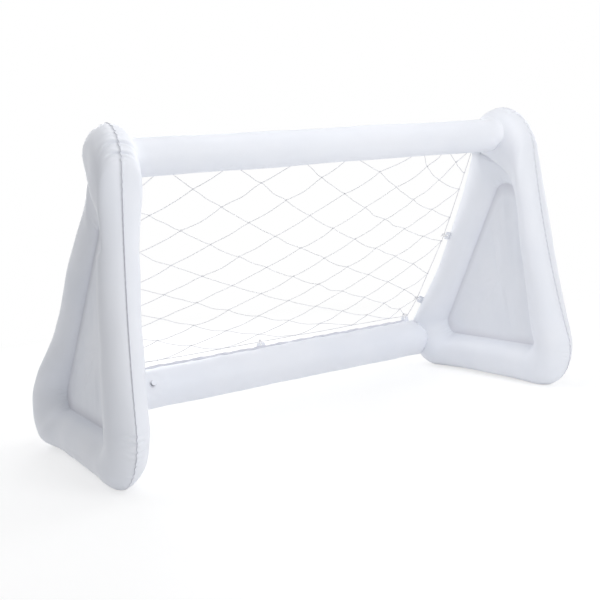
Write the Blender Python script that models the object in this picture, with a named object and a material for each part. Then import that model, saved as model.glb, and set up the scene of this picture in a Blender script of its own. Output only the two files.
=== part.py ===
"""Inflatable soccer goal: two leaning air-filled side frames, a crossbar, a rear floor bar, a net and its valve.

The frame is in metres with +Z up. +X runs along the goal's width, the mouth faces -Y, and the origin lies
on the floor below the middle of the goal. Every chamber is made of thin vinyl sheet, so it is open inside.
"""

import math

import bmesh
import bpy
import numpy as np
from mathutils import Matrix, Vector

# Vinyl sheet and the clearance between pieces that touch
SHEET = 0.00035
CLEARANCE = 0.0003

# Side frames, each measured in its own leaning plane
GOAL_WIDTH = 1.000  # between the middle planes of the side frames, on the floor
FRAME_DEPTH = 0.540
FRAME_HEIGHT = 0.631
FRAME_LEAN = math.radians(5.0)  # each frame leans in towards the other at its top
APEX_SETBACK = 0.120  # from the front of the foot back to the centre of the top round
APEX_ROUND = 0.081
REAR_FOOT_ROUND = 0.079
FRONT_FOOT_ROUND = 0.108
REAR_LEG_HOLLOW = 0.0215  # how far an edge bows in between its rounds
SILL_HOLLOW = 0.0065
FRONT_LEG_HOLLOW = 0.013
FOOT_FLAT = 0.0035  # how far the weight presses the feet flat

# Web: the flat triangle inside each frame, where its two sheets are welded together
WEB_SILL_HEIGHT = 0.093
WEB_CROWN_DROP = 0.169  # from the top of the frame down to the web
WEB_FRONT_INSET = 0.098
WEB_REAR_INSET = 0.115
WEB_TOP_SETBACK = 0.135
WEB_TOP_ROUND = 0.043
WEB_REAR_ROUND = 0.012
WEB_FRONT_ROUND = 0.017

# Half the thickness of the inflated tube round the frame
APEX_OUTER_HALF = 0.028
APEX_INNER_HALF = 0.041  # the crossbar pulls this side out
REAR_FOOT_HALF = 0.052
FRONT_FOOT_HALF = 0.040
REAR_LEG_HALF = 0.0295
SILL_HALF = 0.038
FRONT_LEG_HALF = 0.036
SWELL_SHARES = ((0.05, 0.23), (0.12, 0.20), (0.15, 0.15))  # share of each side over which its ends' swelling fades
APEX_CREST_SHIFT = 0.08  # the top round is thickest this share nearer its outer edge than midway

# Crease under the top round, where the rear leg's tube folds against the front leg's
CREASE_FRONT = (-0.190, 0.468)
CREASE_REAR = (-0.075, 0.557)
CREASE_WIDTH = 0.044
CREASE_DROP = 0.24  # share of its thickness that the rear leg's tube lacks behind the crease
CREASE_REACH = 0.17
CREASE_BASE = 0.30  # the crease has no effect below this height
CREASE_FULL = 0.42

# Weld margin that stands out past the seam, and fades where the frame meets the floor
WELD_MARGIN = 0.003
MARGIN_FADE_FROM = 0.012
MARGIN_FADE_TO = 0.050

# Crossbar and rear floor bar
CROSSBAR_RADIUS = 0.034
CROSSBAR_Y = -0.150
CROSSBAR_Z = 0.5635
FLOOR_BAR_RADIUS = 0.044
FLOOR_BAR_Y = 0.211
FLOOR_BAR_Z = 0.0765
PORT_LAP = 0.006  # weld lap round the air port, inside a bar's radius
BAR_WELD_MARGIN = 0.006  # a bar's sheet is rolled and welded lengthwise, and this much stands out
BAR_WELD_SHIFT = 0.002  # from the middle of the tabs' blades to the middle of that weld
BAR_WELD_INSET = 0.006  # it ends this far from the frame's rounded side

# Valve, on the upper front of the floor bar near its left end
VALVE_X = -0.297
VALVE_TURN = math.radians(65.0)  # from straight up towards the front
VALVE_BORE = 0.0034
STEM_RADIUS = 0.0048
STEM_PROUD = 0.0090
STEM_INSIDE = 0.0110
LIP_RADIUS = 0.0060
LIP_DEPTH = 0.0012
COLLAR_WALL = 0.0015
COLLAR_DEPTH = 0.0090
VALVE_FLANGE_RADIUS = 0.013
VALVE_FLANGE_SHEET = 0.0006
SLIDE_CLEARANCE = 0.0004
PLUG_RADIUS = 0.0056
PLUG_DEPTH = 0.0011
PEG_LENGTH = 0.0043
PEG_TAPER = 0.00065
PEG_CLEARANCE = 0.00035
HINGE_REACH = 0.0080  # from the valve's axis out to the strap's bend
STRAP_WIDTH = 0.0036
STRAP_DEPTH = 0.0008
FLAP_DEPTH = 0.0004

# Tabs that hold the net, and the string loops through them
TAB_LENGTH = 0.022
TAB_SHEET = 0.0007
TAB_CLEARANCE = 0.0008  # under a tab, where a tube curves
TAB_FOOT_WIDTH = 0.009
TAB_HOLE_RADIUS = 0.0026
TAB_HOLE_REACH = 0.009  # from the tube's surface out to the hole
TAB_REACH = 0.013
CORD_REACH = 0.0155  # from the tube's surface out to the net's border cord
LOOP_RADIUS = 0.0050
LOOP_STRING = 0.0006
CORNER_OVERRUN = 0.011  # the net's corners lie this far past the end loops
CROSSBAR_TAB_TURN = math.radians(112.0)  # from straight up towards the back
FLOOR_BAR_TAB_TURN = math.radians(20.0)
END_TAB_INSET = 0.020  # from where a bar meets the frame to the middle of its end tab
LEG_TAB_HEIGHTS = (0.345, 0.175)

# Net: a diamond mesh, its rows counted down from the crossbar and its columns from the left
STRING_RADIUS = 0.0008
KNOT_RADIUS = 0.0015
KNOT_REACH = 0.005  # from a knot's middle to where the string is plain again
SNAP_REACH = 0.011  # a border knot this near a loop is tied into it
STRING_BOW = 0.0002  # how far a string strays from the straight line between its knots
NET_ROWS = 13
NET_COLUMNS = 12
CORNER_ROWS = (0, 2)  # the last column has only these rows, in the upper right corner
NET_SAG = 0.004
TOP_TIES = (0.09, 0.265, 0.455, 0.60, 0.83, 0.91, 1.0)  # places along the crossbar's cord
FLOOR_TIES = (0.0, 0.20, 0.38, 0.61, 0.80, 0.93, 1.0)
LEFT_TIES = (0.14, 0.28, 0.47, 0.62, 0.72, 0.84)
RIGHT_TIES = (0.14, 0.23, 0.39, 0.53, 0.73, 0.88)

# Facets
ARC_POINTS = 8
SIDE_POINTS = (8, 6, 8)
ARCH_ROWS = (0.0, 0.07, 0.18, 0.34, 0.50, 0.66, 0.84, 1.0)
BAR_SIDES = 32
VALVE_SIDES = 24
LOOP_SIDES = 6
LOOP_POINTS = 14

SEAM_HALF = CLEARANCE / 2 + SHEET

# Each bar's name, axis, radius, the turn of its tabs, and how far the frames' sides swell towards it
BARS = (
    ("crossbar", CROSSBAR_Y, CROSSBAR_Z, CROSSBAR_RADIUS, CROSSBAR_TAB_TURN, APEX_INNER_HALF),
    ("floor_bar", FLOOR_BAR_Y, FLOOR_BAR_Z, FLOOR_BAR_RADIUS, FLOOR_BAR_TAB_TURN, REAR_FOOT_HALF),
)


def make_material(name, color, roughness):
    """A plain vinyl or string finish."""
    material = bpy.data.materials.new(name)
    material.use_nodes = True
    shader = material.node_tree.nodes["Principled BSDF"]
    shader.inputs["Base Color"].default_value = (*color, 1.0)
    shader.inputs["Roughness"].default_value = roughness
    shader.inputs["Metallic"].default_value = 0.0
    material.diffuse_color = (*color, 1.0)
    return material


def add_object(name, mesh, material):
    """Links a mesh object of this name, with this finish."""
    obj = bpy.data.objects.new(name, mesh)
    bpy.context.scene.collection.objects.link(obj)
    if not mesh.materials:
        mesh.materials.append(material)
    return obj


def object_from_bmesh(name, shape, material):
    """Turns a bmesh into an object with smooth rounds and sharp folds."""
    mesh = bpy.data.meshes.new(name)
    shape.to_mesh(mesh)
    shape.free()
    mesh.shade_smooth()
    mesh.set_sharp_from_angle(angle=math.radians(40))
    return add_object(name, mesh, material)


def make_helper(obj):
    """Marks an object as a cutter, which isn't part of the goal."""
    obj.hide_render = True
    obj.display_type = "WIRE"
    return obj


def cut(obj, cutter, operation="DIFFERENCE"):
    """Adds a Boolean with this cutter."""
    modifier = obj.modifiers.new(cutter.name, "BOOLEAN")
    modifier.operation = operation
    modifier.solver = "EXACT"
    modifier.object = cutter


# Outlines of the side frame
def belt(circles, hollows):
    """The outline of a belt round three circles, as points and outward normals in the frame's plane.

    Each circle is (depth, height, radius). A hollow bows the side after its circle in by that much.
    """
    centres = [np.array(circle[:2]) for circle in circles]
    radii = [circle[2] for circle in circles]
    normals = []
    for i in range(3):
        run = centres[(i + 1) % 3] - centres[i]
        length = np.linalg.norm(run)
        along = run / length
        across = np.array((-along[1], along[0]))
        lead = (radii[i] - radii[(i + 1) % 3]) / length
        normals.append(lead * along + math.sqrt(1 - lead * lead) * across)
    points = []
    outward = []
    for i in range(3):
        start = math.atan2(normals[i - 1][1], normals[i - 1][0])
        end = math.atan2(normals[i][1], normals[i][0])
        sweep = (end - start) % (2 * math.pi) - 2 * math.pi
        for step in np.linspace(0, 1, ARC_POINTS):
            angle = start + sweep * step
            normal = np.array((math.cos(angle), math.sin(angle)))
            points.append(centres[i] + radii[i] * normal)
            outward.append(normal)
        first = centres[i] + radii[i] * normals[i]
        last = centres[(i + 1) % 3] + radii[(i + 1) % 3] * normals[i]
        for step in np.linspace(0, 1, SIDE_POINTS[i] + 2)[1:-1]:
            bow = 4 * step * (1 - step) * hollows[i]
            points.append(first + (last - first) * step - normals[i] * bow)
            outward.append(normals[i])
    return np.array(points), np.array(outward)


def seam_outline():
    """The outer weld line, from the top round over the rear leg, the sill and the front leg."""
    front = -FRAME_DEPTH / 2
    circles = (
        (front + APEX_SETBACK, FRAME_HEIGHT - APEX_ROUND, APEX_ROUND),
        (FRAME_DEPTH / 2 - REAR_FOOT_ROUND, REAR_FOOT_ROUND, REAR_FOOT_ROUND),
        (front + FRONT_FOOT_ROUND, FRONT_FOOT_ROUND, FRONT_FOOT_ROUND),
    )
    return belt(circles, (REAR_LEG_HOLLOW, SILL_HOLLOW, FRONT_LEG_HOLLOW))


def web_outline():
    """The inner weld line round the web, point for point beside the outer one."""
    front = -FRAME_DEPTH / 2
    circles = (
        (front + WEB_TOP_SETBACK, FRAME_HEIGHT - WEB_CROWN_DROP - WEB_TOP_ROUND, WEB_TOP_ROUND),
        (FRAME_DEPTH / 2 - WEB_REAR_INSET - WEB_REAR_ROUND, WEB_SILL_HEIGHT + WEB_REAR_ROUND, WEB_REAR_ROUND),
        (front + WEB_FRONT_INSET + WEB_FRONT_ROUND, WEB_SILL_HEIGHT + WEB_FRONT_ROUND, WEB_FRONT_ROUND),
    )
    return belt(circles, (0.0, 0.0, 0.0))[0]


def spread(rounds, sides):
    """A value at each point of the outlines, from those of the three rounds and of the sides between them."""
    values = []
    for i in range(3):
        values += [rounds[i]] * ARC_POINTS
        for step in np.linspace(0, 1, SIDE_POINTS[i] + 2)[1:-1]:
            near = math.exp(-((step / SWELL_SHARES[i][0]) ** 2))
            far = math.exp(-(((1 - step) / SWELL_SHARES[i][1]) ** 2))
            swell = (rounds[i] - sides[i]) * near + (rounds[(i + 1) % 3] - sides[i]) * far
            values.append(sides[i] + swell)
    return np.array(values)


def half_thickness(face):
    """Half the tube's thickness at each point of the outlines, on the outer or the inner side."""
    apex = APEX_OUTER_HALF if face > 0 else APEX_INNER_HALF
    return spread((apex, REAR_FOOT_HALF, FRONT_FOOT_HALF), (REAR_LEG_HALF, SILL_HALF, FRONT_LEG_HALF))


def smooth_step(share):
    """Rises from 0 to 1 with level ends."""
    share = min(max(share, 0.0), 1.0)
    return share * share * (3 - 2 * share)


def crease_share(place):
    """How much of its thickness the tube keeps at a point of the frame's plane near the crease."""
    start = np.array(CREASE_FRONT)
    run = np.array(CREASE_REAR) - start
    run /= np.linalg.norm(run)
    behind = (place - start) @ np.array((run[1], -run[0]))
    step = smooth_step(behind / CREASE_WIDTH + 0.5)
    fade = math.exp(-((max(behind, 0.0) / CREASE_REACH) ** 2))
    high = min(max((place[1] - CREASE_BASE) / (CREASE_FULL - CREASE_BASE), 0.0), 1.0)
    return 1 - CREASE_DROP * step * fade * high


def margin_width(height):
    """The weld margin, which runs out where the frame meets the floor."""
    share = (height - MARGIN_FADE_FROM) / (MARGIN_FADE_TO - MARGIN_FADE_FROM)
    return WELD_MARGIN * min(max(share, 0.0), 1.0)


def lean(side, out, depth, height):
    """A point of a side frame in the world: side is -1 or +1, and out is measured away from the goal's middle."""
    x = side * (GOAL_WIDTH / 2 - height * math.sin(FRAME_LEAN) + out * math.cos(FRAME_LEAN))
    z = height * math.cos(FRAME_LEAN) + out * math.sin(FRAME_LEAN) - FOOT_FLAT
    return Vector((x, depth, max(z, 0.0)))


def frame_plane_x(z):
    """How far the middle plane of a side frame is from the goal's middle at this height."""
    return GOAL_WIDTH / 2 - (z + FOOT_FLAT) * math.tan(FRAME_LEAN)


def arch_rings(face, grow=0.0):
    """The rows of an inflated half tube, as (out, depth, height), from the outer weld line to the inner one."""
    seam, outward = seam_outline()
    web = web_outline()
    halves = half_thickness(face)
    apex_shares = spread((1.0, 0.0, 0.0), (0.0, 0.0, 0.0))
    rings = []
    for share in ARCH_ROWS:
        across = (1 - math.cos(math.pi * share)) / 2
        ring = []
        for i, start in enumerate(seam):
            inward = web[i] - start
            place = start + inward * across
            crest = 0.5 - APEX_CREST_SHIFT * apex_shares[i]
            rise = math.sin(math.pi * share ** (math.log(0.5) / math.log(crest)))
            out = face * (SEAM_HALF + (halves[i] * crease_share(place) + grow) * rise)
            place = place - grow * inward / np.linalg.norm(inward) * math.cos(math.pi * share)
            ring.append((out, place[0], place[1]))
        rings.append(ring)
    return rings, seam, outward


def ring_faces(shape, first, second):
    """Joins two closed rows of points with quads."""
    count = len(first)
    for i in range(count):
        corners = (first[i], first[(i + 1) % count], second[(i + 1) % count], second[i])
        shape.faces.new(corners)


def frame_panel(name, side, face, material):
    """One vinyl sheet of a side frame: weld margin, half tube and web. Face is +1 outside and -1 inside."""
    rings, seam, outward = arch_rings(face)
    margin = []
    for point, normal in zip(seam, outward):
        edge = point + normal * margin_width(point[1])
        margin.append((face * SEAM_HALF, edge[0], edge[1]))
    shape = bmesh.new()
    rows = []
    for ring in [margin] + rings:
        rows.append([shape.verts.new(lean(side, *point)) for point in ring])
    for first, second in zip(rows, rows[1:]):
        ring_faces(shape, first, second)
    shape.faces.new(rows[-1])
    bmesh.ops.remove_doubles(shape, verts=shape.verts, dist=1e-6)
    bmesh.ops.recalc_face_normals(shape, faces=shape.faces)
    web = max(shape.faces, key=lambda polygon: len(polygon.verts))
    if web.normal.x * side * face < 0:
        bmesh.ops.reverse_faces(shape, faces=shape.faces)
    panel = object_from_bmesh(name, shape, material)
    wall = panel.modifiers.new("sheet", "SOLIDIFY")
    wall.thickness = SHEET
    wall.offset = -1
    wall.use_even_offset = True
    return panel


def chamber_cutter(name, side):
    """The air space of a side frame with its sheets, grown by the clearance: it trims what is welded on."""
    shape = bmesh.new()
    outer = arch_rings(1, CLEARANCE)[0]
    inner = arch_rings(-1, CLEARANCE)[0]
    rows = []
    for ring in outer + inner[::-1]:
        points = []
        for point in ring:
            place = lean(side, *point)
            points.append(shape.verts.new(place))
        rows.append(points)
    for first, second in zip(rows, rows[1:] + rows[:1]):
        ring_faces(shape, first, second)
    bmesh.ops.recalc_face_normals(shape, faces=shape.faces)
    return make_helper(object_from_bmesh(name, shape, None))


def cylinder(name, radius, start, end, sides, material=None):
    """A closed cylinder between two points."""
    start = Vector(start)
    run = Vector(end) - start
    shape = bmesh.new()
    turn = run.to_track_quat("Z", "Y").to_matrix().to_4x4()
    place = Matrix.Translation(start + run / 2) @ turn
    bmesh.ops.create_cone(
        shape,
        cap_ends=True,
        segments=sides,
        radius1=radius,
        radius2=radius,
        depth=run.length,
        matrix=place,
    )
    return object_from_bmesh(name, shape, material)


def bar_sleeve(bar, chambers, material):
    """A vinyl tube between the side frames, with its lengthwise weld, trimmed to their rounded sides."""
    name, y, z, radius, turn, frame_half = bar
    reach = frame_plane_x(z) - radius / 4
    shape = bmesh.new()
    rows = []
    for x in (-reach, reach):
        ring = []
        for i in range(BAR_SIDES):
            angle = 2 * math.pi * i / BAR_SIDES
            ring.append(shape.verts.new((x, y + radius * math.sin(angle), z + radius * math.cos(angle))))
        rows.append(ring)
    ring_faces(shape, rows[0], rows[1])
    bmesh.ops.recalc_face_normals(shape, faces=shape.faces)
    outside = shape.faces[:][0]
    middle = outside.calc_center_median()
    if outside.normal.dot(middle - Vector((middle.x, y, z))) < 0:
        bmesh.ops.reverse_faces(shape, faces=shape.faces)
    sleeve = object_from_bmesh(f"{name}_sleeve", shape, material)
    wall = sleeve.modifiers.new("sheet", "SOLIDIFY")
    wall.thickness = SHEET
    wall.offset = -1
    half_length = frame_plane_x(z) - frame_half - BAR_WELD_INSET
    low = (-half_length, -BAR_WELD_SHIFT - SHEET, radius - 2 * SHEET)
    high = (half_length, -BAR_WELD_SHIFT + SHEET, radius + BAR_WELD_MARGIN)
    weld = block(f"{name}_weld", low, high)
    weld.location = (0, y, z)
    weld.rotation_euler = (-turn, 0, 0)
    cut(sleeve, make_helper(weld), "UNION")
    for chamber in chambers:
        cut(sleeve, chamber)
    return sleeve


def cut_ports(panel, side):
    """Opens the air ports that join a side frame to both bars."""
    for name, y, z, radius, _, _ in BARS:
        middle = frame_plane_x(z)
        start = (side * (middle - radius / 3), y, z)
        end = (side * (middle - 3 * radius), y, z)
        port = cylinder(f"{panel.name}_{name}_port", radius - PORT_LAP, start, end, BAR_SIDES)
        cut(panel, make_helper(port))


# Valve
def revolve(name, profile, material, segments=VALVE_SIDES):
    """Turns a closed profile of (radius, height) about local Z."""
    shape = bmesh.new()
    points = [shape.verts.new((radius, 0.0, height)) for radius, height in profile]
    edges = [shape.edges.new((points[i - 1], points[i])) for i in range(len(points))]
    bmesh.ops.spin(
        shape,
        geom=points + edges,
        axis=(0, 0, 1),
        cent=(0, 0, 0),
        steps=segments,
        angle=2 * math.pi,
        use_merge=True,
    )
    bmesh.ops.remove_doubles(shape, verts=shape.verts, dist=1e-7)
    flat = [edge for edge in shape.edges if edge.is_wire]
    bmesh.ops.delete(shape, geom=flat, context="EDGES")
    bmesh.ops.recalc_face_normals(shape, faces=shape.faces)
    return object_from_bmesh(name, shape, material)


def block(name, low, high, material=None):
    """A box between two corners."""
    shape = bmesh.new()
    size = [b - a for a, b in zip(low, high)]
    middle = [(a + b) / 2 for a, b in zip(low, high)]
    place = Matrix.Translation(middle) @ Matrix.Diagonal((*size, 1.0))
    bmesh.ops.create_cube(shape, size=1.0, matrix=place)
    return object_from_bmesh(name, shape, material)


def hang_on(obj, carrier):
    """Places an object in the frame of its carrier."""
    obj.parent = carrier
    return obj


def make_valve(sleeve, vinyl, clear_vinyl):
    """The push-in valve: flange and collar inside the bar, sliding stem, one-way flap and plug on its strap."""
    seat = bpy.data.objects.new("valve_seat", None)
    bpy.context.scene.collection.objects.link(seat)
    out = Vector((0, -math.sin(VALVE_TURN), math.cos(VALVE_TURN)))
    seat.location = Vector((VALVE_X, FLOOR_BAR_Y, FLOOR_BAR_Z)) + out * FLOOR_BAR_RADIUS
    seat.rotation_euler = (VALVE_TURN, 0, 0)

    hole_radius = STEM_RADIUS + SLIDE_CLEARANCE
    hole = cylinder("valve_hole", hole_radius, (0, 0, -COLLAR_DEPTH), (0, 0, STEM_PROUD), VALVE_SIDES)
    cut(sleeve, make_helper(hang_on(hole, seat)))

    make_valve_base(seat, hole_radius, clear_vinyl)
    stem = make_valve_stem(seat, clear_vinyl)
    make_valve_flap(seat, stem, clear_vinyl)
    make_valve_plug(seat, stem, vinyl)


def make_valve_base(seat, bore, material):
    """The flange welded under the sleeve, with the collar that the stem slides in."""
    under_sheet = FLOOR_BAR_RADIUS - SHEET - CLEARANCE
    length = 2 * VALVE_FLANGE_RADIUS + 0.01
    ends = ((-length / 2, 0, -FLOOR_BAR_RADIUS), (length / 2, 0, -FLOOR_BAR_RADIUS))
    base = cylinder("valve_base", VALVE_FLANGE_RADIUS, (0, 0, -0.02), (0, 0, 0.01), VALVE_SIDES, material)
    rim = cylinder("valve_flange_outside", under_sheet, *ends, 96)
    cut(base, make_helper(hang_on(rim, seat)), "INTERSECT")
    longer = [(2 * x, y, z) for x, y, z in ends]
    core = cylinder("valve_flange_inside", under_sheet - VALVE_FLANGE_SHEET, *longer, 96)
    cut(base, make_helper(hang_on(core, seat)))
    collar_top = FLOOR_BAR_RADIUS - under_sheet + VALVE_FLANGE_SHEET
    collar_radius = bore + COLLAR_WALL
    collar = cylinder("valve_collar", collar_radius, (0, 0, -COLLAR_DEPTH), (0, 0, -collar_top), VALVE_SIDES)
    cut(base, make_helper(hang_on(collar, seat)), "UNION")
    bore_cutter = cylinder("valve_collar_bore", bore, (0, 0, -2 * COLLAR_DEPTH), (0, 0, 0.01), VALVE_SIDES)
    cut(base, make_helper(hang_on(bore_cutter, seat)))
    return hang_on(base, seat)


def make_valve_stem(seat, material):
    """The tube that is blown into. It slides in until its lip meets the sleeve."""
    chamfer = LIP_DEPTH / 3
    profile = (
        (VALVE_BORE, -STEM_INSIDE),
        (STEM_RADIUS, -STEM_INSIDE),
        (STEM_RADIUS, STEM_PROUD - LIP_DEPTH),
        (LIP_RADIUS, STEM_PROUD - LIP_DEPTH + chamfer),
        (LIP_RADIUS, STEM_PROUD),
        (VALVE_BORE + chamfer, STEM_PROUD),
        (VALVE_BORE, STEM_PROUD - chamfer),
    )
    stem = revolve("valve_stem", profile, material)
    low = (STEM_RADIUS, -STRAP_WIDTH / 2, STEM_PROUD - STRAP_DEPTH)
    high = (HINGE_REACH, STRAP_WIDTH / 2, STEM_PROUD)
    lug = block("valve_strap_lug", low, high)
    cut(stem, make_helper(hang_on(lug, seat)), "UNION")
    return hang_on(stem, seat)


def make_valve_flap(seat, stem, material):
    """The soft disc that closes the stem from inside, with its origin on the edge that it bends about."""
    radius = (VALVE_BORE + STEM_RADIUS) / 2
    top = -STEM_INSIDE - CLEARANCE
    profile = ((0.0, -FLAP_DEPTH), (radius, -FLAP_DEPTH), (radius, 0.0), (0.0, 0.0))
    flap = revolve("valve_flap", profile, material)
    flap.data.transform(Matrix.Translation((radius, 0, 0)))
    flap.location = (-radius, 0, top)
    return hang_on(flap, stem)


def make_valve_plug(seat, stem, material):
    """The plug on its strap, with its origin on the bend beside the stem's lip."""
    bend = Vector((HINGE_REACH, 0, STEM_PROUD + CLEARANCE / 2))
    under = CLEARANCE / 2
    peg_radius = VALVE_BORE - PEG_CLEARANCE
    profile = (
        (0.0, under - PEG_LENGTH),
        (peg_radius - PEG_TAPER, under - PEG_LENGTH),
        (peg_radius, under),
        (PLUG_RADIUS, under),
        (PLUG_RADIUS, under + PLUG_DEPTH),
        (0.0, under + PLUG_DEPTH),
    )
    plug = revolve("valve_plug", profile, material)
    plug.data.transform(Matrix.Translation((-HINGE_REACH, 0, 0)))
    low = (-HINGE_REACH + PLUG_RADIUS / 2, -STRAP_WIDTH / 2, under)
    strap = block("valve_strap", low, (0, STRAP_WIDTH / 2, under + STRAP_DEPTH))
    plug.location = bend
    strap.location = bend
    cut(plug, make_helper(hang_on(strap, stem)), "UNION")
    return hang_on(plug, stem)


# Net tabs and their string loops
def tab_mesh():
    """An L-shaped vinyl tab: local X runs along the tube, Z stands out from it, and the hole runs along Y."""
    half = TAB_SHEET / 2
    round_radius = TAB_REACH - TAB_HOLE_REACH
    outline = [(-TAB_LENGTH / 2, 0.0), (TAB_LENGTH / 2, 0.0)]
    for step in range(9):
        angle = math.pi * step / 8
        x = (TAB_LENGTH / 2 - round_radius) * math.copysign(1, math.cos(angle)) * (step != 4)
        outline.append((x + round_radius * math.cos(angle), TAB_HOLE_REACH + round_radius * math.sin(angle)))
    shape = bmesh.new()
    front = [shape.verts.new((x, -half, z)) for x, z in outline]
    face = shape.faces.new(front)
    grown = bmesh.ops.extrude_face_region(shape, geom=[face])["geom"]
    moved = [item for item in grown if isinstance(item, bmesh.types.BMVert)]
    bmesh.ops.translate(shape, verts=moved, vec=(0, TAB_SHEET, 0))
    bmesh.ops.recalc_face_normals(shape, faces=shape.faces)
    tab = object_from_bmesh("tab_pattern", shape, None)
    low = (-TAB_LENGTH / 2, -half, 0.0)
    high = (TAB_LENGTH / 2, TAB_FOOT_WIDTH, TAB_SHEET)
    foot = block("tab_foot", low, high)
    cut(tab, make_helper(foot), "UNION")
    ends = ((0, -TAB_REACH, TAB_HOLE_REACH), (0, TAB_REACH, TAB_HOLE_REACH))
    hole = cylinder("tab_hole", TAB_HOLE_RADIUS, *ends, 12)
    cut(tab, make_helper(hole))
    graph = bpy.context.evaluated_depsgraph_get()
    mesh = bpy.data.meshes.new_from_object(tab.evaluated_get(graph))
    for helper in (tab, foot, hole):
        bpy.data.objects.remove(helper)
    mesh.name = "net_tab"
    mesh.materials.clear()
    return mesh


def loop_mesh():
    """A closed string loop round local X, from the tab's hole to past the border cord."""
    shape = bmesh.new()
    centre = TAB_HOLE_REACH + LOOP_RADIUS
    rows = []
    for i in range(LOOP_POINTS):
        turn = 2 * math.pi * i / LOOP_POINTS
        ring = []
        for j in range(LOOP_SIDES):
            angle = 2 * math.pi * j / LOOP_SIDES
            reach = LOOP_RADIUS + LOOP_STRING * math.cos(angle)
            y = reach * math.sin(turn)
            z = centre - reach * math.cos(turn)
            ring.append(shape.verts.new((LOOP_STRING * math.sin(angle), y, z)))
        rows.append(ring)
    for first, second in zip(rows, rows[1:] + rows[:1]):
        ring_faces(shape, first, second)
    bmesh.ops.recalc_face_normals(shape, faces=shape.faces)
    mesh = bpy.data.meshes.new("net_loop")
    shape.to_mesh(mesh)
    shape.free()
    mesh.shade_smooth()
    return mesh


def leg_surface(side, height):
    """Where the net's plane meets a rear leg: a point on the inner sheet, its outward normal and the leg's run."""
    rings = arch_rings(-1)[0]
    rows = range(ARC_POINTS, ARC_POINTS + SIDE_POINTS[0])
    row = 2
    points = [lean(side, *rings[row][i]) for i in rows]
    below = [lean(side, *rings[row + 1][i]) for i in rows]
    for i in range(len(points) - 1):
        if points[i].z >= height >= points[i + 1].z:
            share = (points[i].z - height) / (points[i].z - points[i + 1].z)
            along = (points[i + 1] - points[i]).normalized()
            first = points[i].lerp(points[i + 1], share)
            second = below[i].lerp(below[i + 1], share)
            middle = first.lerp(second, 0.5)
            normal = along.cross(second - first).normalized()
            if normal.x * side > 0:
                normal.negate()
            return middle, normal, along
    raise ValueError("a leg tab lies off the leg")


def tab_places():
    """Each tab's name, foot point, outward normal and run along its tube."""
    places = []
    for name, y, z, radius, turn, frame_half in BARS:
        normal = Vector((0, math.sin(turn), math.cos(turn)))
        reach = frame_plane_x(z) - frame_half - END_TAB_INSET
        for label, x in (("left", -reach), ("middle", 0.0), ("right", reach)):
            foot = Vector((x, y, z)) + normal * radius
            places.append((f"{name}_tab_{label}", foot, normal, Vector((1, 0, 0))))
    for side, label in ((-1, "left"), (1, "right")):
        for number, height in enumerate(LEG_TAB_HEIGHTS):
            foot, normal, along = leg_surface(side, height)
            level = ("upper", "lower")[number]
            places.append((f"{label}_leg_tab_{level}", foot, normal, along))
    return places


def place_tabs(vinyl, string):
    """Sets every tab on its tube with its loop, and returns where the net's cord is held or turns a corner."""
    tab = tab_mesh()
    tab.materials.append(vinyl)
    loop = loop_mesh()
    loop.materials.append(string)
    ties = {}
    for name, foot, normal, along in tab_places():
        turn = Matrix((along, normal.cross(along), normal)).transposed().to_4x4()
        seat = Matrix.Translation(foot + normal * TAB_CLEARANCE) @ turn
        add_object(name, tab, vinyl).matrix_world = seat
        add_object(name.replace("tab", "loop"), loop, string).matrix_world = seat
        is_corner = "bar" in name and "middle" not in name
        overrun = math.copysign(CORNER_OVERRUN, foot.x) if is_corner else 0.0
        ties[name] = seat @ Vector((overrun, 0, CORD_REACH))
    return ties


# Net
def along_path(path, share):
    """A point at this share of a path's length."""
    lengths = [(b - a).length for a, b in zip(path, path[1:])]
    rest = share * sum(lengths)
    for start, end, length in zip(path, path[1:], lengths):
        if rest <= length:
            return start.lerp(end, rest / length)
        rest -= length
    return path[-1].copy()


def net_knots(ties):
    """Places every knot: those on the border along their cords, the rest pulled evenly by their neighbours."""
    paths = {
        "top": [ties["crossbar_tab_left"], ties["crossbar_tab_right"]],
        "floor": [ties["floor_bar_tab_left"], ties["floor_bar_tab_right"]],
    }
    for label in ("left", "right"):
        names = ("crossbar_tab_" + label, label + "_leg_tab_upper", label + "_leg_tab_lower", "floor_bar_tab_" + label)
        paths[label] = [ties[name] for name in names]
    held = {}
    for number, share in enumerate(TOP_TIES):
        held[0, 2 * number] = along_path(paths["top"], share)
    for number, share in enumerate(FLOOR_TIES):
        held[NET_ROWS, 2 * number - 1] = along_path(paths["floor"], share)
    for number, share in enumerate(LEFT_TIES):
        held[2 * number + 1, -1] = along_path(paths["left"], share)
    right_knots = [(CORNER_ROWS[-1], NET_COLUMNS)] + [(row, NET_COLUMNS - 1) for row in range(3, NET_ROWS, 2)]
    for knot, share in zip(right_knots, RIGHT_TIES):
        held[knot] = along_path(paths["right"], share)
    for tie in ties.values():
        nearest = min(held, key=lambda knot: (held[knot] - tie).length)
        if (held[nearest] - tie).length < SNAP_REACH:
            held[nearest] = tie
    free = []
    for row in range(1, NET_ROWS):
        for column in range(0, NET_COLUMNS):
            inside = column < NET_COLUMNS - 1 or row < right_knots[1][0]
            if (row + column) % 2 == 0 and inside and (row, column) not in held:
                free.append((row, column))
    number_of = {knot: number for number, knot in enumerate(free)}
    pull = np.zeros((len(free), len(free)))
    load = np.zeros((len(free), 3))
    load[:, 2] = -NET_SAG
    for (row, column), number in number_of.items():
        for neighbour in ((row + a, column + b) for a in (-1, 1) for b in (-1, 1)):
            if neighbour in number_of:
                pull[number, number] += 1
                pull[number, number_of[neighbour]] -= 1
            elif neighbour in held:
                pull[number, number] += 1
                load[number] += np.array(held[neighbour])
    solved = np.linalg.solve(pull, load)
    knots = dict(held)
    for knot, number in number_of.items():
        knots[knot] = Vector(solved[number])
    return knots


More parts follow.
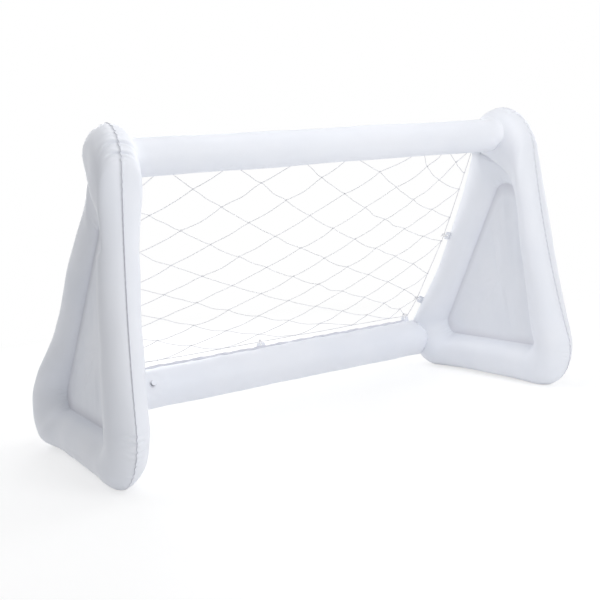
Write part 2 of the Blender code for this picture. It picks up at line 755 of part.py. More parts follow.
def split_at_tie(shape, tie):
    """Puts a point of the border cord exactly where a loop holds it."""
    if min((vertex.co - tie).length for vertex in shape.verts) < CLEARANCE:
        return
    best = None
    for edge in shape.edges:
        if not edge.is_boundary:
            continue
        start = edge.verts[0]
        run = edge.verts[1].co - start.co
        share = min(max((tie - start.co).dot(run) / run.length_squared, 0.1), 0.9)
        miss = (start.co + run * share - tie).length
        if best is None or miss < best[0]:
            best = (miss, edge, start, share)
    _, edge, start, share = best
    _, vertex = bmesh.utils.edge_split(edge, start, share)
    vertex.co = tie


def make_net(ties, material):
    """The net as one closed lattice of strings, knots and border cord."""
    knots = net_knots(ties)
    shape = bmesh.new()
    weights = shape.verts.layers.deform.new()
    points = {knot: shape.verts.new(place) for knot, place in knots.items()}
    for row in range(NET_ROWS + 1):
        for column in range(-1, NET_COLUMNS + 1):
            if (row + column) % 2 == 0:
                continue
            around = ((row - 1, column), (row, column + 1), (row + 1, column), (row, column - 1))
            corners = [points[knot] for knot in around if knot in points]
            if len(corners) > 2:
                shape.faces.new(corners)
    shape.normal_update()
    for edge in list(shape.edges):
        first, second = edge.verts
        length = edge.calc_length()
        bow = edge.link_faces[0].normal.cross(second.co - first.co).normalized() * STRING_BOW
        new_edge, near_first = bmesh.utils.edge_split(edge, first, KNOT_REACH / length)
        rest = edge if second in edge.verts else new_edge
        _, near_second = bmesh.utils.edge_split(rest, second, KNOT_REACH / (length - KNOT_REACH))
        near_first.co += bow
        near_second.co += bow
    for tie in ties.values():
        split_at_tie(shape, tie)
    for point in points.values():
        point[weights][0] = 1.0
    bmesh.ops.recalc_face_normals(shape, faces=shape.faces)
    net = object_from_bmesh("net", shape, material)
    net.vertex_groups.new(name="knots")
    lattice = net.modifiers.new("strings", "WIREFRAME")
    lattice.thickness = 2 * KNOT_RADIUS
    lattice.vertex_group = "knots"
    lattice.thickness_vertex_group = STRING_RADIUS / KNOT_RADIUS
    lattice.use_boundary = True
    lattice.use_replace = True
    lattice.use_even_offset = False
    lattice.use_relative_offset = False


def main():
    for obj in list(bpy.data.objects):
        bpy.data.objects.remove(obj, do_unlink=True)
    vinyl = make_material("white_vinyl", (0.83, 0.85, 0.92), 0.32)
    clear_vinyl = make_material("clear_vinyl", (0.62, 0.64, 0.68), 0.25)
    string = make_material("white_string", (0.86, 0.86, 0.85), 0.8)

    chambers = []
    for side, label in ((-1, "left"), (1, "right")):
        frame_panel(f"{label}_frame_outer_sheet", side, 1, vinyl)
        inner = frame_panel(f"{label}_frame_inner_sheet", side, -1, vinyl)
        cut_ports(inner, side)
        chambers.append(chamber_cutter(f"{label}_chamber", side))
    sleeves = [bar_sleeve(bar, chambers, vinyl) for bar in BARS]
    make_valve(sleeves[1], vinyl, clear_vinyl)
    make_net(place_tabs(vinyl, string), string)


main()
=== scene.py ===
"""Looks of the inflatable soccer goal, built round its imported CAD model."""

import math

import bpy
import numpy as np
from mathutils import Matrix, Vector
from mathutils.bvhtree import BVHTree


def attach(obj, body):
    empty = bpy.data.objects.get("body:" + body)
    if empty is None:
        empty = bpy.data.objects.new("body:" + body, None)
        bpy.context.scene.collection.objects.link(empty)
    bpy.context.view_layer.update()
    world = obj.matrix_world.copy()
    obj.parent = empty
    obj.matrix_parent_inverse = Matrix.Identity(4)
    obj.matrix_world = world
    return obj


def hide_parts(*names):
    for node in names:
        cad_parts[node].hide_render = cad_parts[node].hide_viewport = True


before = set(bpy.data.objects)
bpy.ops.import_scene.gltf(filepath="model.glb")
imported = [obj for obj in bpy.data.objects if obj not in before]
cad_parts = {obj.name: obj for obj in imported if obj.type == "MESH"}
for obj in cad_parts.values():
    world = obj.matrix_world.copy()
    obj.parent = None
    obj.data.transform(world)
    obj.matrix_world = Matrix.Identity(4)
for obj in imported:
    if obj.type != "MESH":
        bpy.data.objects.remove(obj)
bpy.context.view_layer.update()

# Sizes of the CAD model, in metres. A side is -1 for left and 1 for right, and a side frame's face is
# -1 for its inner sheet and 1 for its outer one. Places in a frame's own plane are depth and height.
SHEET = 0.00035
SEAM_HALF = 0.0005
GOAL_WIDTH = 1.000
FRAME_DEPTH = 0.540
FRAME_HEIGHT = 0.631
FRAME_LEAN = math.radians(5.0)
FOOT_FLAT = 0.0035
FRONT = -FRAME_DEPTH / 2
APEX_CIRCLES = {
    -1: (FRONT + 0.120, FRAME_HEIGHT - 0.081, 0.081),
    1: (FRONT + 0.1269, FRAME_HEIGHT - 0.0945, 0.0897),
}
FOOT_CIRCLES = ((-FRONT - 0.079, 0.079, 0.079), (FRONT + 0.108, 0.108, 0.108))
SEAM_HOLLOWS = (0.0215, 0.0065, 0.013)
WEB_CIRCLES = (
    (FRONT + 0.135, FRAME_HEIGHT - 0.169 - 0.043, 0.043),
    (-FRONT - 0.159, 0.093 + 0.026, 0.026),
    (FRONT + 0.098 + 0.017, 0.093 + 0.017, 0.017),
)
APEX_HALVES = {(-1, 1): 0.0375, (1, 1): 0.020, (-1, -1): 0.041, (1, -1): 0.041}
FOOT_HALVES = {1: (0.0536, 0.0379), -1: (0.0545, 0.0377)}
SIDE_HALVES = {1: (0.0272, 0.038, 0.0379), -1: (0.0295, 0.038, 0.0345)}
FOOT_SWELL = (1.45, 1.45)
SWELL_SHARES = ((0.05, 0.23), (0.12, 0.20), (0.15, 0.15))
APEX_CREST_SHIFT = 0.08
BARS = {
    "crossbar": (-0.150, 0.5635, 0.034, math.radians(112.0)),
    "floor_bar": (0.211, 0.0765, 0.044, math.radians(20.0)),
}
BAR_END_HALF = {"crossbar": 0.041, "floor_bar": 0.052}
WELD_SHIFT = 0.002
VALVE_SEAT = Vector((-0.297, 0.171122, 0.095095))
VALVE_TURN = math.radians(65.0)
TAB_CLEARANCE = 0.0008
CORD_REACH = 0.0155
END_TAB_INSET = 0.020
CORNER_OVERRUN = 0.011
LOOP_CENTRE = 0.014
LOOP_RADIUS = 0.0050
LEG_TABS = {
    "upper": ((0.44884, 0.05552, 0.33801), (-0.83459, 0.47438, 0.28003), (0.06107, 0.58489, -0.80881)),
    "lower": ((0.45201, 0.18711, 0.17198), (-0.7137, 0.52432, 0.46446), (-0.00974, 0.65559, -0.75505)),
}
NET_ROWS = 13
NET_COLUMNS = 12
NET_SAG = 0.004
SNAP_REACH = 0.011
TOP_TIES = (0.09, 0.265, 0.455, 0.60, 0.83, 0.91, 1.0)
FLOOR_TIES = (0.0, 0.20, 0.38, 0.61, 0.80, 0.93, 1.0)
LEFT_TIES = (0.14, 0.28, 0.47, 0.62, 0.72, 0.84)
RIGHT_TIES = (0.14, 0.23, 0.39, 0.53, 0.73, 0.88)

# Points of the inflated sheets: along the rounds and sides, from seam to web, and into the web
ARC_STEPS = (184, 100, 150)
SIDE_STEPS = (70, 40, 74)
ARCH_STEPS = 46
WEB_STEPS = 10

# The seam's weld, as sizes and pitches of its waves
WELD_MARGIN = 0.0019
MARGIN_FADE = (0.012, 0.050)
SEAM_SWAY = 0.0009
SEAM_SWAY_REACH = 0.006
SCALLOP = 0.25
SEAM_PITCH = 0.0135
SEAM_PITCH_SMALL = 0.0087
MARGIN_HALF = 0.9 * SEAM_HALF
MARGIN_SWAY = 1.5  # times the seam's own

# How dark the welds are drawn, as weld grey that also paints the shade of the seam's groove: the seam's with
# its dashes, less at the apex and inside, and the web's, which also paints shade where the tube meets the web
WELD_SHADE_LEAST, WELD_SHADE_DASHES, WELD_SHADE_APEX_LESS, WELD_SHADE_INSIDE = 0.50, 0.45, 0.6, 0.6
WEB_WELD_SHADE, WEB_WELD_SHADE_HALF = 0.5, 0.0015

# Waves of the tube round the frame, as count, size and phase, and the gathers where it meets the web
TUBE_WAVES = ((9, 0.0007, 0.4), (15, 0.0004, 2.0), (26, 0.0002, 4.1))
HEM_SIZE = 0.00035
HEM_PLACE = 0.010
HEM_PITCH = 0.021
HEM_PITCH_SMALL = 0.012

# Ripples of the web: size, waves in depth and height, phase with the side, phase
WEB_RIPPLES = ((0.0007, 210, 9, 1.0, 0.0), (0.0004, 390, -13, 0.0, 1.0), (0.0006, 110, 21, 2.0, 0.0))

# Fold where the rear leg's tube tucks in under the front leg's, as points of the frame's plane
FOLD = (
    (-0.170, 0.300),
    (-0.180, 0.430),
    (-0.1855, 0.4530),
    (-0.1860, 0.4700),
    (-0.1740, 0.4870),
    (-0.1560, 0.5045),
    (-0.1310, 0.5240),
    (-0.1030, 0.5380),
    (-0.0720, 0.5400),
    (-0.0100, 0.5340),
)
FOLD_LEAD = {1: (0.59, 0.0166), -1: (0.10, 0.050)}
FOLD_HOLD = {1: 1.0, -1: 0.0}
FOLD_POWER = {1: 1.0, -1: 1.5}
FOLD_DROP = {1: 0.0, -1: 0.32}
FOLD_REACH = {1: 0.082, -1: 0.16}
FOLD_BASE, FOLD_FADE = 0.30, 0.12  # it starts at this height, and is full this much higher
HOLD_BASE, HOLD_FADE, HOLD_REACH = 0.41, 0.06, 0.012
DROP_REACH, DROP_LEAD = 0.007, 0.3
FOLD_START, FOLD_END, FOLD_END_FADE = 1.0, 7.9, 0.9  # counted in the points above
GROOVE_DEPTH, GROOVE_PLACE, GROOVE_HALF = 0.16, 0.005, 0.005  # depth as a share of the tube's thickness
LIP_REACH, LIP_PLACE, LIP_HALF = 0.0042, -0.001, 0.006

# Outer side of the dome above the fold: it slopes down to this line, in heights and depths
DOME_LINE = (
    (0.300, -0.120),
    (0.415, -0.108),
    (0.459, -0.101),
    (0.482, -0.091),
    (0.498, -0.075),
    (0.518, -0.056),
    (0.533, -0.042),
    (0.555, -0.028),
    (0.577, -0.016),
    (0.593, -0.022),
    (0.602, -0.034),
    (0.615, -0.057),
    (0.620, -0.085),
    (0.624, -0.117),
)
DOME_SLOPE = 0.38
DOME_SHIFT = 0.0158
DOME_BASE, DOME_FADE = 0.36, 0.06
DOME_EDGE = 0.006  # over which the slope starts in front of the fold
DOME_FREE = 0.1  # a limit too high to touch the sheet
DOME_TIP, DOME_TIP_SLOPE = 6.4, 0.6  # from this point of the fold on, the sheet rises gently behind it
DOME_LEAST = 0.48  # share of its thickness that the tube always keeps
DOME_BLEND, DOME_LIFT = 0.003, 0.0002

# Strong puckers of the seam: arc, share of it, side frame, depth, half width, reach
PUCKERS = (
    (0, 0.200, -1, 0.0046, 0.0015, 0.024),
    (0, 0.098, -1, 0.0042, 0.0014, 0.017),
    (0, 0.060, -1, 0.0010, 0.0014, 0.014),
    (0, 0.300, -1, 0.0012, 0.0015, 0.016),
    (2, 0.972, -1, 0.0020, 0.0017, 0.018),
    (2, 0.905, -1, 0.0024, 0.0018, 0.022),
    (2, 0.805, -1, 0.0016, 0.0016, 0.016),
    (2, 0.740, -1, 0.0012, 0.0016, 0.016),
    (0, 0.392, 1, 0.0016, 0.0018, 0.018),
    (0, 0.440, 1, 0.0014, 0.0018, 0.015),
    (0, 0.520, 1, 0.0012, 0.0018, 0.014),
    (1, 0.400, -1, 0.0022, 0.0020, 0.030),
    (1, 0.520, -1, 0.0018, 0.0018, 0.026),
)

# Small puckers between them: ranges of depth, half width and reach, and the shares of an arc between them
SMALL_DEPTHS, SMALL_HALVES, SMALL_REACHES = (0.0003, 0.0011), (0.0014, 0.0022), (0.008, 0.022)
SMALL_STARTS, SMALL_GAPS = (0.02, 0.08), (0.05, 0.12)
SMALL_TILT, PUCKERS_APART = 0.4, 0.04
PUCKER_SPREAD = 0.022  # distance from the seam over which a pucker's width doubles
PUCKER_RIDGES = (0.4, 2.2, 1.3)  # height, place and half width of those beside it, in the pucker's own
PUCKER_START, PUCKER_LEAST = 0.004, 0.3  # it begins at the seam with this share of its depth

# Faint wrinkles of the sides' seams: how many on each, their depths, half width, reach and tilt
SIDE_WRINKLES = (5, (0.0001, 0.0004), 0.003, 0.016, 0.6)

# Bars: points round and along, and how they end, flaring into the frame or tight with a neck and gathers
BAR_AROUND, BAR_ALONG = 112, 200
BAR_SINK = 0.0016  # how far a bar's end runs into the frame
BAR_RAY_INSET = 0.0006  # how far inside it the rays run that find its ends
BAR_CROWDING = 1.4  # how much closer the points along it lie at its ends
# how far the weld grey reaches at a bar's end; it is drawn only where the end creases, so it is painted shade
# of the crease as well as weld colour
BAR_END_WELD_SHADE = 0.0025
CROSSBAR_FLARE, FLARE_TURN, FLARE_EDGE = 0.012, math.radians(28.0), 0.45
FLARE_FREE = 0.006  # a bar's end creases only where it flares less than this
BAR_NECK = ((-0.0024, 0.0, 0.006), (0.0009, 0.016, 0.009))
BAR_GATHERS, BAR_GATHER_SIZE, BAR_GATHER_REACH = 24, 0.0008, 0.011
BAR_WAVES = ((2.3, 1, 0.0006, 0.3), (4.1, 2, 0.0006, 1.9), (7.7, 3, 0.0004, 4.0), (14.0, 4, 0.0002, 2.2))
BAR_CRINKLES = ((0.0008, 97, 0.8), (0.0006, 171, 2.0), (0.0004, 263, 0.5))
BAR_CRINKLE_HALF, BAR_PINCH, BAR_PINCH_HALF = 0.36, 0.0011, 0.09
TAB_HOLD = 0.016  # how far round a tab the sleeve keeps its plain radius
TAB_RAYS, TAB_RAY_SIZE, TAB_RAY_PLACE, TAB_RAY_HALF = 7, 0.0008, 0.02, 0.010
VALVE_HOLD = 0.018

# A bar's lengthwise weld: its height, waves, and how it ends
BAR_RIM = 0.0052
BAR_RIM_WAVES = ((0.0007, 120, 2.0), (0.0004, 310, 0.0))
BAR_RIM_SWAY = ((0.0009, 88, 1.0), (0.0006, 203, 0.4))
BAR_RIM_ROOT, BAR_RIM_INSET, BAR_RIM_TAPER, BAR_RIM_STEPS = 0.0025, 0.010, 0.02, 260

# Sleeve round the valve: the hole, the ring of its weld as radii and heights, and the dimple
VALVE_HOLE = 0.0061
VALVE_SIDE = 0.03  # what lies deeper is the sleeve's other side
VALVE_FIT = 0.016  # the ring follows the sleeve this far round
VALVE_RING = (
    (0.0052, -0.0004),
    (0.0052, 0.0001),
    (0.0056, 0.0002),
    (0.0079, 0.0002),
    (0.0086, -0.0001),
    (0.0093, -0.0005),
)
VALVE_RING_STEPS = 60
VALVE_BOWL = ((-0.0012, 0.021, 0.006), (0.0006, 0.031, 0.006))
VALVE_RAYS, VALVE_RAY_SIZE, VALVE_RAY_PLACE, VALVE_RAY_HALF = 9, 0.0004, 0.024, 0.009

# Strings: radius, sides, twist and depth of the lay between two plies
STRING = (0.00074, 6, 1900.0, 0.22)
CORD = (0.0009, 6, 1700.0, 0.2)
LOOP_STRING = (0.00062, 6, 2100.0, 0.2)
TAIL_STRING = (0.0006, 5, 2000.0, 0.2)
KNOT_STRING = (0.00062, 5, 0.0, 0.0)
LOOP_KNOT_STRING = (0.00065, 5, 0.0, 0.0)
STRING_STEP, CORD_STEP = 0.0022, 0.0025
STRING_SAG, CORD_SAG = (0.0008, 0.0032), (0.0004, 0.0014)
STRING_BOW, STRING_WAVE = 0.0013, 0.0006
TIE_REACH, TIE_PULL = 0.02, 0.012
KNOT_SIZE, TIE_KNOT_SIZE, LOOP_KNOT_SIZE = 0.0015, 0.0017, 0.0019
KNOT_TUMBLE, LOOP_WOBBLE = 0.3, 0.03
TAIL_RISE, TAIL_SPREAD, TAIL_FALL, TAIL_BEND = 0.0045, 0.0035, 0.002, 0.0015
NET_SLOPE = Vector((0, 0.793, 0.609))  # normal of the net's slope


def smooth(share):
    share = np.clip(share, 0.0, 1.0)
    return share * share * (3 - 2 * share)


def bell(distance, half):
    """A smooth hump: 1 in its middle, and near 0 from twice its half width."""
    return np.exp(-((distance / half) ** 2))


def waves(places, terms):
    """A sum of sine waves, each given as size, rate and phase."""
    return sum(size * np.sin(rate * places + phase) for size, rate, phase in terms)


def full_turn(count):
    return np.linspace(0, 2 * math.pi, count, endpoint=False)


def belt(circles, hollows):
    """The outline of a belt round three circles, as points and outward normals."""
    centres = [np.array(circle[:2]) for circle in circles]
    radii = [circle[2] for circle in circles]
    normals = []
    for i in range(3):
        j = (i + 1) % 3
        run = centres[j] - centres[i]
        length = np.linalg.norm(run)
        along = run / length
        lead = (radii[i] - radii[j]) / length
        normals.append(lead * along + math.sqrt(1 - lead * lead) * np.array((-along[1], along[0])))
    points, outward = [], []
    for i in range(3):
        start = math.atan2(normals[i - 1][1], normals[i - 1][0])
        end = math.atan2(normals[i][1], normals[i][0])
        angles = start + ((end - start) % (2 * math.pi) - 2 * math.pi) * np.linspace(0, 1, ARC_STEPS[i])
        normal = np.stack((np.cos(angles), np.sin(angles)), 1)
        points.append(centres[i] + radii[i] * normal)
        outward.append(normal)
        first = centres[i] + radii[i] * normals[i]
        j = (i + 1) % 3
        last = centres[j] + radii[j] * normals[i]
        step = np.linspace(0, 1, SIDE_STEPS[i] + 2)[1:-1, None]
        points.append(first + (last - first) * step - normals[i] * (4 * step * (1 - step) * hollows[i]))
        outward.append(np.repeat(normals[i][None], SIDE_STEPS[i], 0))
    return np.concatenate(points), np.concatenate(outward)


def spread(rounds, sides):
    """A value at each point of the outlines, from those of the three rounds and of the sides between them."""
    values = []
    for i in range(3):
        values.append(np.full(ARC_STEPS[i], rounds[i]))
        step = np.linspace(0, 1, SIDE_STEPS[i] + 2)[1:-1]
        near = bell(step, SWELL_SHARES[i][0])
        far = bell(1 - step, SWELL_SHARES[i][1])
        values.append(sides[i] + (rounds[i] - sides[i]) * near + (rounds[(i + 1) % 3] - sides[i]) * far)
    return np.concatenate(values)


def fold_distance(place):
    """Signed distance behind the fold's line, how far along it, and the direction away from it."""
    line = np.array(FOLD)
    best = np.full(place.shape[:-1], 1e9)
    behind = np.zeros(place.shape[:-1])
    along = np.zeros(place.shape[:-1])
    away = np.zeros(place.shape)
    for number, (start, end) in enumerate(zip(line, line[1:])):
        run = end - start
        normal = np.array((run[1], -run[0]))
        share = np.clip((place - start) @ run / (run @ run), 0, 1)
        nearest = start + share[..., None] * run
        distance = np.linalg.norm(place - nearest, axis=-1)
        side = np.sign((place - start) @ normal)
        closer = distance < best
        best = np.where(closer, distance, best)
        behind = np.where(closer, side * distance, behind)
        along = np.where(closer, number + share, along)
        away = np.where(closer[..., None], normal / np.linalg.norm(run), away)
    return behind, along, away


def fold_tube(place, face):
    """The tube round the fold: its share of full thickness, how far it is held up, and the lip's reach."""
    behind, along, away = fold_distance(place)
    height = place[..., 1]
    high = np.clip((height - FOLD_BASE) / FOLD_FADE, 0, 1)
    lead, reach = FOLD_LEAD[face]
    recover = bell(np.maximum(behind, 0), FOLD_REACH[face])
    before = lead * np.clip(1 + behind / reach, 0, 1) ** FOLD_POWER[face] * recover
    hold = FOLD_HOLD[face] * smooth((height - HOLD_BASE) / HOLD_FADE) * smooth(-behind / HOLD_REACH)
    drop = FOLD_DROP[face] * smooth(behind / DROP_REACH + DROP_LEAD) * recover
    ends = smooth(along - FOLD_START) * smooth((FOLD_END - along) / FOLD_END_FADE)
    groove = GROOVE_DEPTH * ends * bell(behind - GROOVE_PLACE, GROOVE_HALF)
    lip = LIP_REACH * ends * bell(behind - LIP_PLACE, LIP_HALF)
    return 1 - (before + drop) * high - groove, hold, away * lip[..., None]


def dome_slope(place, thickness):
    """The outer sheet's thickness, lowered where the dome slopes down towards the fold."""
    behind, along, _ = fold_distance(place)
    depth, height = place[..., 0], place[..., 1]
    limit = DOME_SLOPE * (np.interp(height, *zip(*DOME_LINE)) - DOME_SHIFT - depth)
    tip = smooth(along - DOME_TIP)
    open_edge = DOME_FREE * (1 - smooth(-behind / DOME_EDGE))
    limit += (1 - tip) * open_edge + tip * DOME_TIP_SLOPE * np.maximum(behind, 0)
    limit += DOME_FREE * (1 - smooth((height - DOME_BASE) / DOME_FADE))
    limit = np.maximum(limit, DOME_LEAST * thickness)
    return (thickness + limit - np.sqrt((thickness - limit) ** 2 + DOME_BLEND**2)) / 2 + DOME_LIFT


def lean(side, out, depth, height):
    """Points of a side frame in the world."""
    x = side * (GOAL_WIDTH / 2 - height * math.sin(FRAME_LEAN) + out * math.cos(FRAME_LEAN))
    z = height * math.cos(FRAME_LEAN) + out * math.sin(FRAME_LEAN) - FOOT_FLAT
    return np.stack((x, depth, z), -1)


def plane_x(z):
    return GOAL_WIDTH / 2 - (z + FOOT_FLAT) * math.tan(FRAME_LEAN)


def grid_normals(grid, face):
    """Outward normals of a grid that is closed along its second axis."""
    across = np.gradient(grid, axis=0)
    along = np.roll(grid, -1, 1) - np.roll(grid, 1, 1)
    normal = np.cross(along, across)
    normal /= np.maximum(np.linalg.norm(normal, axis=-1, keepdims=True), 1e-12)
    return normal * (1 if (normal[..., 0] * face).mean() > 0 else -1)


def seam_puckers(side, face):
    """Puckers of one sheet's seam: which point they start at, depth, half width, reach and tilt."""
    random = np.random.default_rng(11 + side)
    starts = [sum(ARC_STEPS[:i]) + sum(SIDE_STEPS[:i]) for i in range(3)]
    found = []
    taken = []
    for arc, share, only, depth, half, reach in PUCKERS:
        if only == side:
            found.append((starts[arc] + share * (ARC_STEPS[arc] - 1), depth, half, reach, 0.0))
            taken.append((arc, share))
    for arc in range(3):
        share = random.uniform(*SMALL_STARTS)
        while share < 1.0:
            depth, half = random.uniform(*SMALL_DEPTHS), random.uniform(*SMALL_HALVES)
            reach = random.uniform(*SMALL_REACHES)
            which, tilt = random.choice((0, 1, -1)), random.uniform(-SMALL_TILT, SMALL_TILT)
            clear = all(arc != a or abs(share - s) > PUCKERS_APART for a, s in taken)
            if clear and which != -face:
                found.append((starts[arc] + share * (ARC_STEPS[arc] - 1), depth, half, reach, tilt))
            share += random.uniform(*SMALL_GAPS)
    count, depths, half, reach, tilt = SIDE_WRINKLES
    for number in range(3):
        start = starts[number] + ARC_STEPS[number]
        for place in random.uniform(0.05, 0.95, count):
            at, depth = start + place * SIDE_STEPS[number], random.uniform(*depths)
            found.append((at, depth, half, reach, random.uniform(-tilt, tilt)))
    return found


def smooth_tube(side, face, seam, web):
    """The tube's sheet from seam to web before it is puckered, and each row's share of the way."""
    halves = spread((APEX_HALVES[side, face], *FOOT_HALVES[face]), SIDE_HALVES[face])
    swell = spread((1.0, *FOOT_SWELL), (1.0, 1.0, 1.0))
    crest = 0.5 - APEX_CREST_SHIFT * spread((1.0, 0.0, 0.0), (0.0, 0.0, 0.0))
    power = math.log(0.5) / np.log(crest)
    share = np.linspace(0, 1, ARCH_STEPS + 1)[:, None]
    across = (1 - np.cos(math.pi * share)) / 2
    place = seam + (web - seam) * across[..., None]
    way = share**power
    rise = np.abs(np.sin(math.pi * way)) ** swell
    keep, hold, lip = fold_tube(place, face)
    full = rise + (1 - rise) * hold * (way > 0.5)
    thickness = SEAM_HALF + halves * full * keep
    if face > 0:
        thickness = dome_slope(place, thickness)
    return np.concatenate((face * thickness[..., None], place + lip * rise[..., None]), -1), share


def pucker_shift(side, face, length, whole, from_seam):
    """How far the seam's puckers push the tube's sheet out."""
    count = len(length)
    high, beside, broad = PUCKER_RIDGES
    start = PUCKER_LEAST + (1 - PUCKER_LEAST) * smooth(from_seam / PUCKER_START)
    shift = np.zeros(from_seam.shape)
    for at, depth, half, reach, tilt in seam_puckers(side, face):
        centre = np.interp(at % count, np.arange(count), length)
        apart = (length - centre + whole / 2) % whole - whole / 2
        apart = apart + tilt * from_seam
        wide = half * (1 + from_seam / PUCKER_SPREAD)
        valley = bell(apart, wide)
        ridge = bell(np.abs(apart) - beside * wide, broad * wide)
        shift += depth * (bell(from_seam, reach) * start) * (high * ridge - valley)
    return shift


def web_rows(side, face, web, centre):
    """Rings of the web, from its outline in towards its middle."""
    rings = []
    for step in range(1, WEB_STEPS):
        flat = centre + (web - centre) * (1 - (step / WEB_STEPS) ** 0.85)
        rings.append(np.concatenate((np.full((len(web), 1), face * SEAM_HALF), flat), -1))
    rings = np.array(rings)
    depth, height = rings[..., 1], rings[..., 2]
    ripple = 0
    for size, along, up, turn, phase in WEB_RIPPLES:
        ripple = ripple + size * np.sin(depth * along + height * up + turn * side + phase)
    inside = np.clip(np.arange(1, WEB_STEPS) / WEB_STEPS * 5, 0, 1)
    rings[..., 0] += inside[:, None] * ripple
    return rings


def sheet_grid(side, face):
    """One side frame's sheet in its own plane: rows of (out, depth, height) from the weld's edge to the web.

    Also how much weld grey each point gets, partly the weld's colour and partly painted shade of the seam's
    groove and of the web's edge, and the web's middle.
    """
    seam, outward = belt((APEX_CIRCLES[side], *FOOT_CIRCLES), SEAM_HOLLOWS)
    web, _ = belt(WEB_CIRCLES, (0.0, 0.0, 0.0))
    grid, share = smooth_tube(side, face, seam, web)

    steps = np.linalg.norm(np.roll(seam, -1, 0) - seam, axis=1)
    length = np.concatenate(((0,), np.cumsum(steps)[:-1]))
    whole = steps.sum()
    turns = length / whole * 2 * math.pi

    def times(pitch):
        return round(whole / pitch)

    gaps = np.linalg.norm(np.diff(grid, axis=0), axis=-1)
    from_seam = np.concatenate((np.zeros((1, len(seam))), np.cumsum(gaps, 0)))
    from_web = from_seam[-1:] - from_seam
    shift = pucker_shift(side, face, length, whole, from_seam)
    for number, size, phase in TUBE_WAVES:
        shift += size * np.sin(number * turns + phase * side + 0.7 * face) * np.sin(math.pi * share)
    rounds = spread((1.0, 1.0, 0.9), (0.25, 0.15, 0.25))
    hem = waves(turns, ((1.0, times(HEM_PITCH), 0.9 * side), (0.6, times(HEM_PITCH_SMALL), 2.0)))
    shift += HEM_SIZE * (0.35 + 0.65 * rounds) * hem * bell(from_web - HEM_PLACE, HEM_PLACE)
    grid = grid + grid_normals(grid, face) * shift[..., None]

    zigzag = waves(turns, ((0.6, times(SEAM_PITCH), side), (0.4, times(SEAM_PITCH_SMALL), 2.0)))
    sway = SEAM_SWAY * rounds * zigzag
    grid[..., 0] += sway * bell(from_seam, SEAM_SWAY_REACH)
    fade = np.clip((seam[:, 1] - MARGIN_FADE[0]) / (MARGIN_FADE[1] - MARGIN_FADE[0]), 0, 1)
    scallop = 1 + SCALLOP * rounds * np.sin(times(SEAM_PITCH) * turns + 1.3 + side)
    apex = spread((1.0, 0.0, 0.0), (0.0, 0.0, 0.0))
    edge = grid[0, :, 1:] + outward * (WELD_MARGIN * fade * scallop * (1 - 0.5 * apex))[:, None]
    out = face * MARGIN_HALF + sway * MARGIN_SWAY
    margin = np.concatenate((out[:, None], edge), -1)
    halfway = (margin + grid[0]) / 2

    centre = web.mean(0)
    rows = np.concatenate((margin[None], halfway[None], grid, web_rows(side, face, web, centre)), 0)
    # Weld grey along the seam and the web's edge: partly the weld's colour, partly painted shade of the
    # seam's groove and of the crease where the tube meets the web.
    weld_and_shade = np.zeros(rows.shape[:2])
    dashes = 0.5 + 0.5 * np.sin(times(SEAM_PITCH) * turns + side - 0.9)
    weld_and_shade[:3] = (WELD_SHADE_LEAST + WELD_SHADE_DASHES * dashes) * (1 - WELD_SHADE_APEX_LESS * apex)
    weld_and_shade[2] *= WELD_SHADE_INSIDE
    weld_and_shade[2 : 2 + len(grid)] += WEB_WELD_SHADE * bell(from_web, WEB_WELD_SHADE_HALF)
    return rows, weld_and_shade, centre


# Building meshes
def add_piece(name, vertices, faces, material, body="goal", slot="white_vinyl"):
    mesh = bpy.data.meshes.new(name)
    mesh.from_pydata([tuple(v) for v in vertices], [], faces)
    mesh.update()
    mesh.shade_smooth()
    mesh.materials.append(material)
    piece = bpy.data.objects.new(name, mesh)
    bpy.context.scene.collection.objects.link(piece)
    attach(piece, body)
    return piece


# Stores per point how much weld grey the vinyl gets; part of that grey is painted shade.
def mark_weld_and_shade(piece, values):
    attribute = piece.data.attributes.new("weld_and_shade", "FLOAT", "POINT")
    attribute.data.foreach_set("value", np.asarray(values, np.float32).ravel())


def grid_faces(rows, columns):
    """Faces between rows of points, each row closed into a ring."""
    faces = []
    for i in range(rows - 1):
        a = i * columns
        for j in range(columns):
            k = (j + 1) % columns
            faces.append((a + j, a + k, a + columns + k, a + columns + j))
    return faces


def turned(faces):
    return [tuple(reversed(face)) for face in faces]


def give_thickness(piece):
    shell = piece.modifiers.new("sheet", "SOLIDIFY")
    shell.thickness = SHEET
    shell.offset = -1


def frame_sheet(name, side, face, material):
    """One vinyl sheet of a side frame, with its weld margin, puckered tube, fold and web."""
    rows, weld_and_shade, centre = sheet_grid(side, face)
    count = rows.shape[1]
    world = lean(side, rows[..., 0], rows[..., 1], rows[..., 2])
    world[..., 2] = np.maximum(world[..., 2], SHEET)
    vertices = list(world.reshape(-1, 3))
    vertices.append(lean(side, np.array(face * SEAM_HALF), np.array(centre[0]), np.array(centre[1])))
    faces = grid_faces(len(rows), count)
    last = (len(rows) - 1) * count
    faces += [(last + j, last + (j + 1) % count, len(vertices) - 1) for j in range(count)]
    piece = add_piece(name, vertices, faces, material)
    if sum(p.normal.x * p.area for p in piece.data.polygons) * side * face < 0:
        piece.data.flip_normals()
    # Weld grey, partly painted shade along the seam and the web's edge.
    mark_weld_and_shade(piece, np.append(weld_and_shade.ravel(), 0.0))
    give_thickness(piece)
    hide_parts(name.replace("vinyl", "frame"))
    return piece


# Bars
def tab_seats():
    """Each tab's foot, outward normal and run along its tube."""
    seats = {}
    for name, (y, z, radius, turn) in BARS.items():
        normal = Vector((0, math.sin(turn), math.cos(turn)))
        reach = plane_x(z) - BAR_END_HALF[name] - END_TAB_INSET
        for label, x in (("left", -reach), ("middle", 0.0), ("right", reach)):
            seats[f"{name}_tab_{label}"] = (Vector((x, y, z)) + normal * radius, normal, Vector((1, 0, 0)))
    for side, label in ((-1, "left"), (1, "right")):
        for level, (foot, normal, along) in LEG_TABS.items():
            mirror = Vector((side, 1, 1))
            seats[f"{label}_leg_tab_{level}"] = tuple(Vector(v) * mirror for v in (foot, normal, along))
    return seats


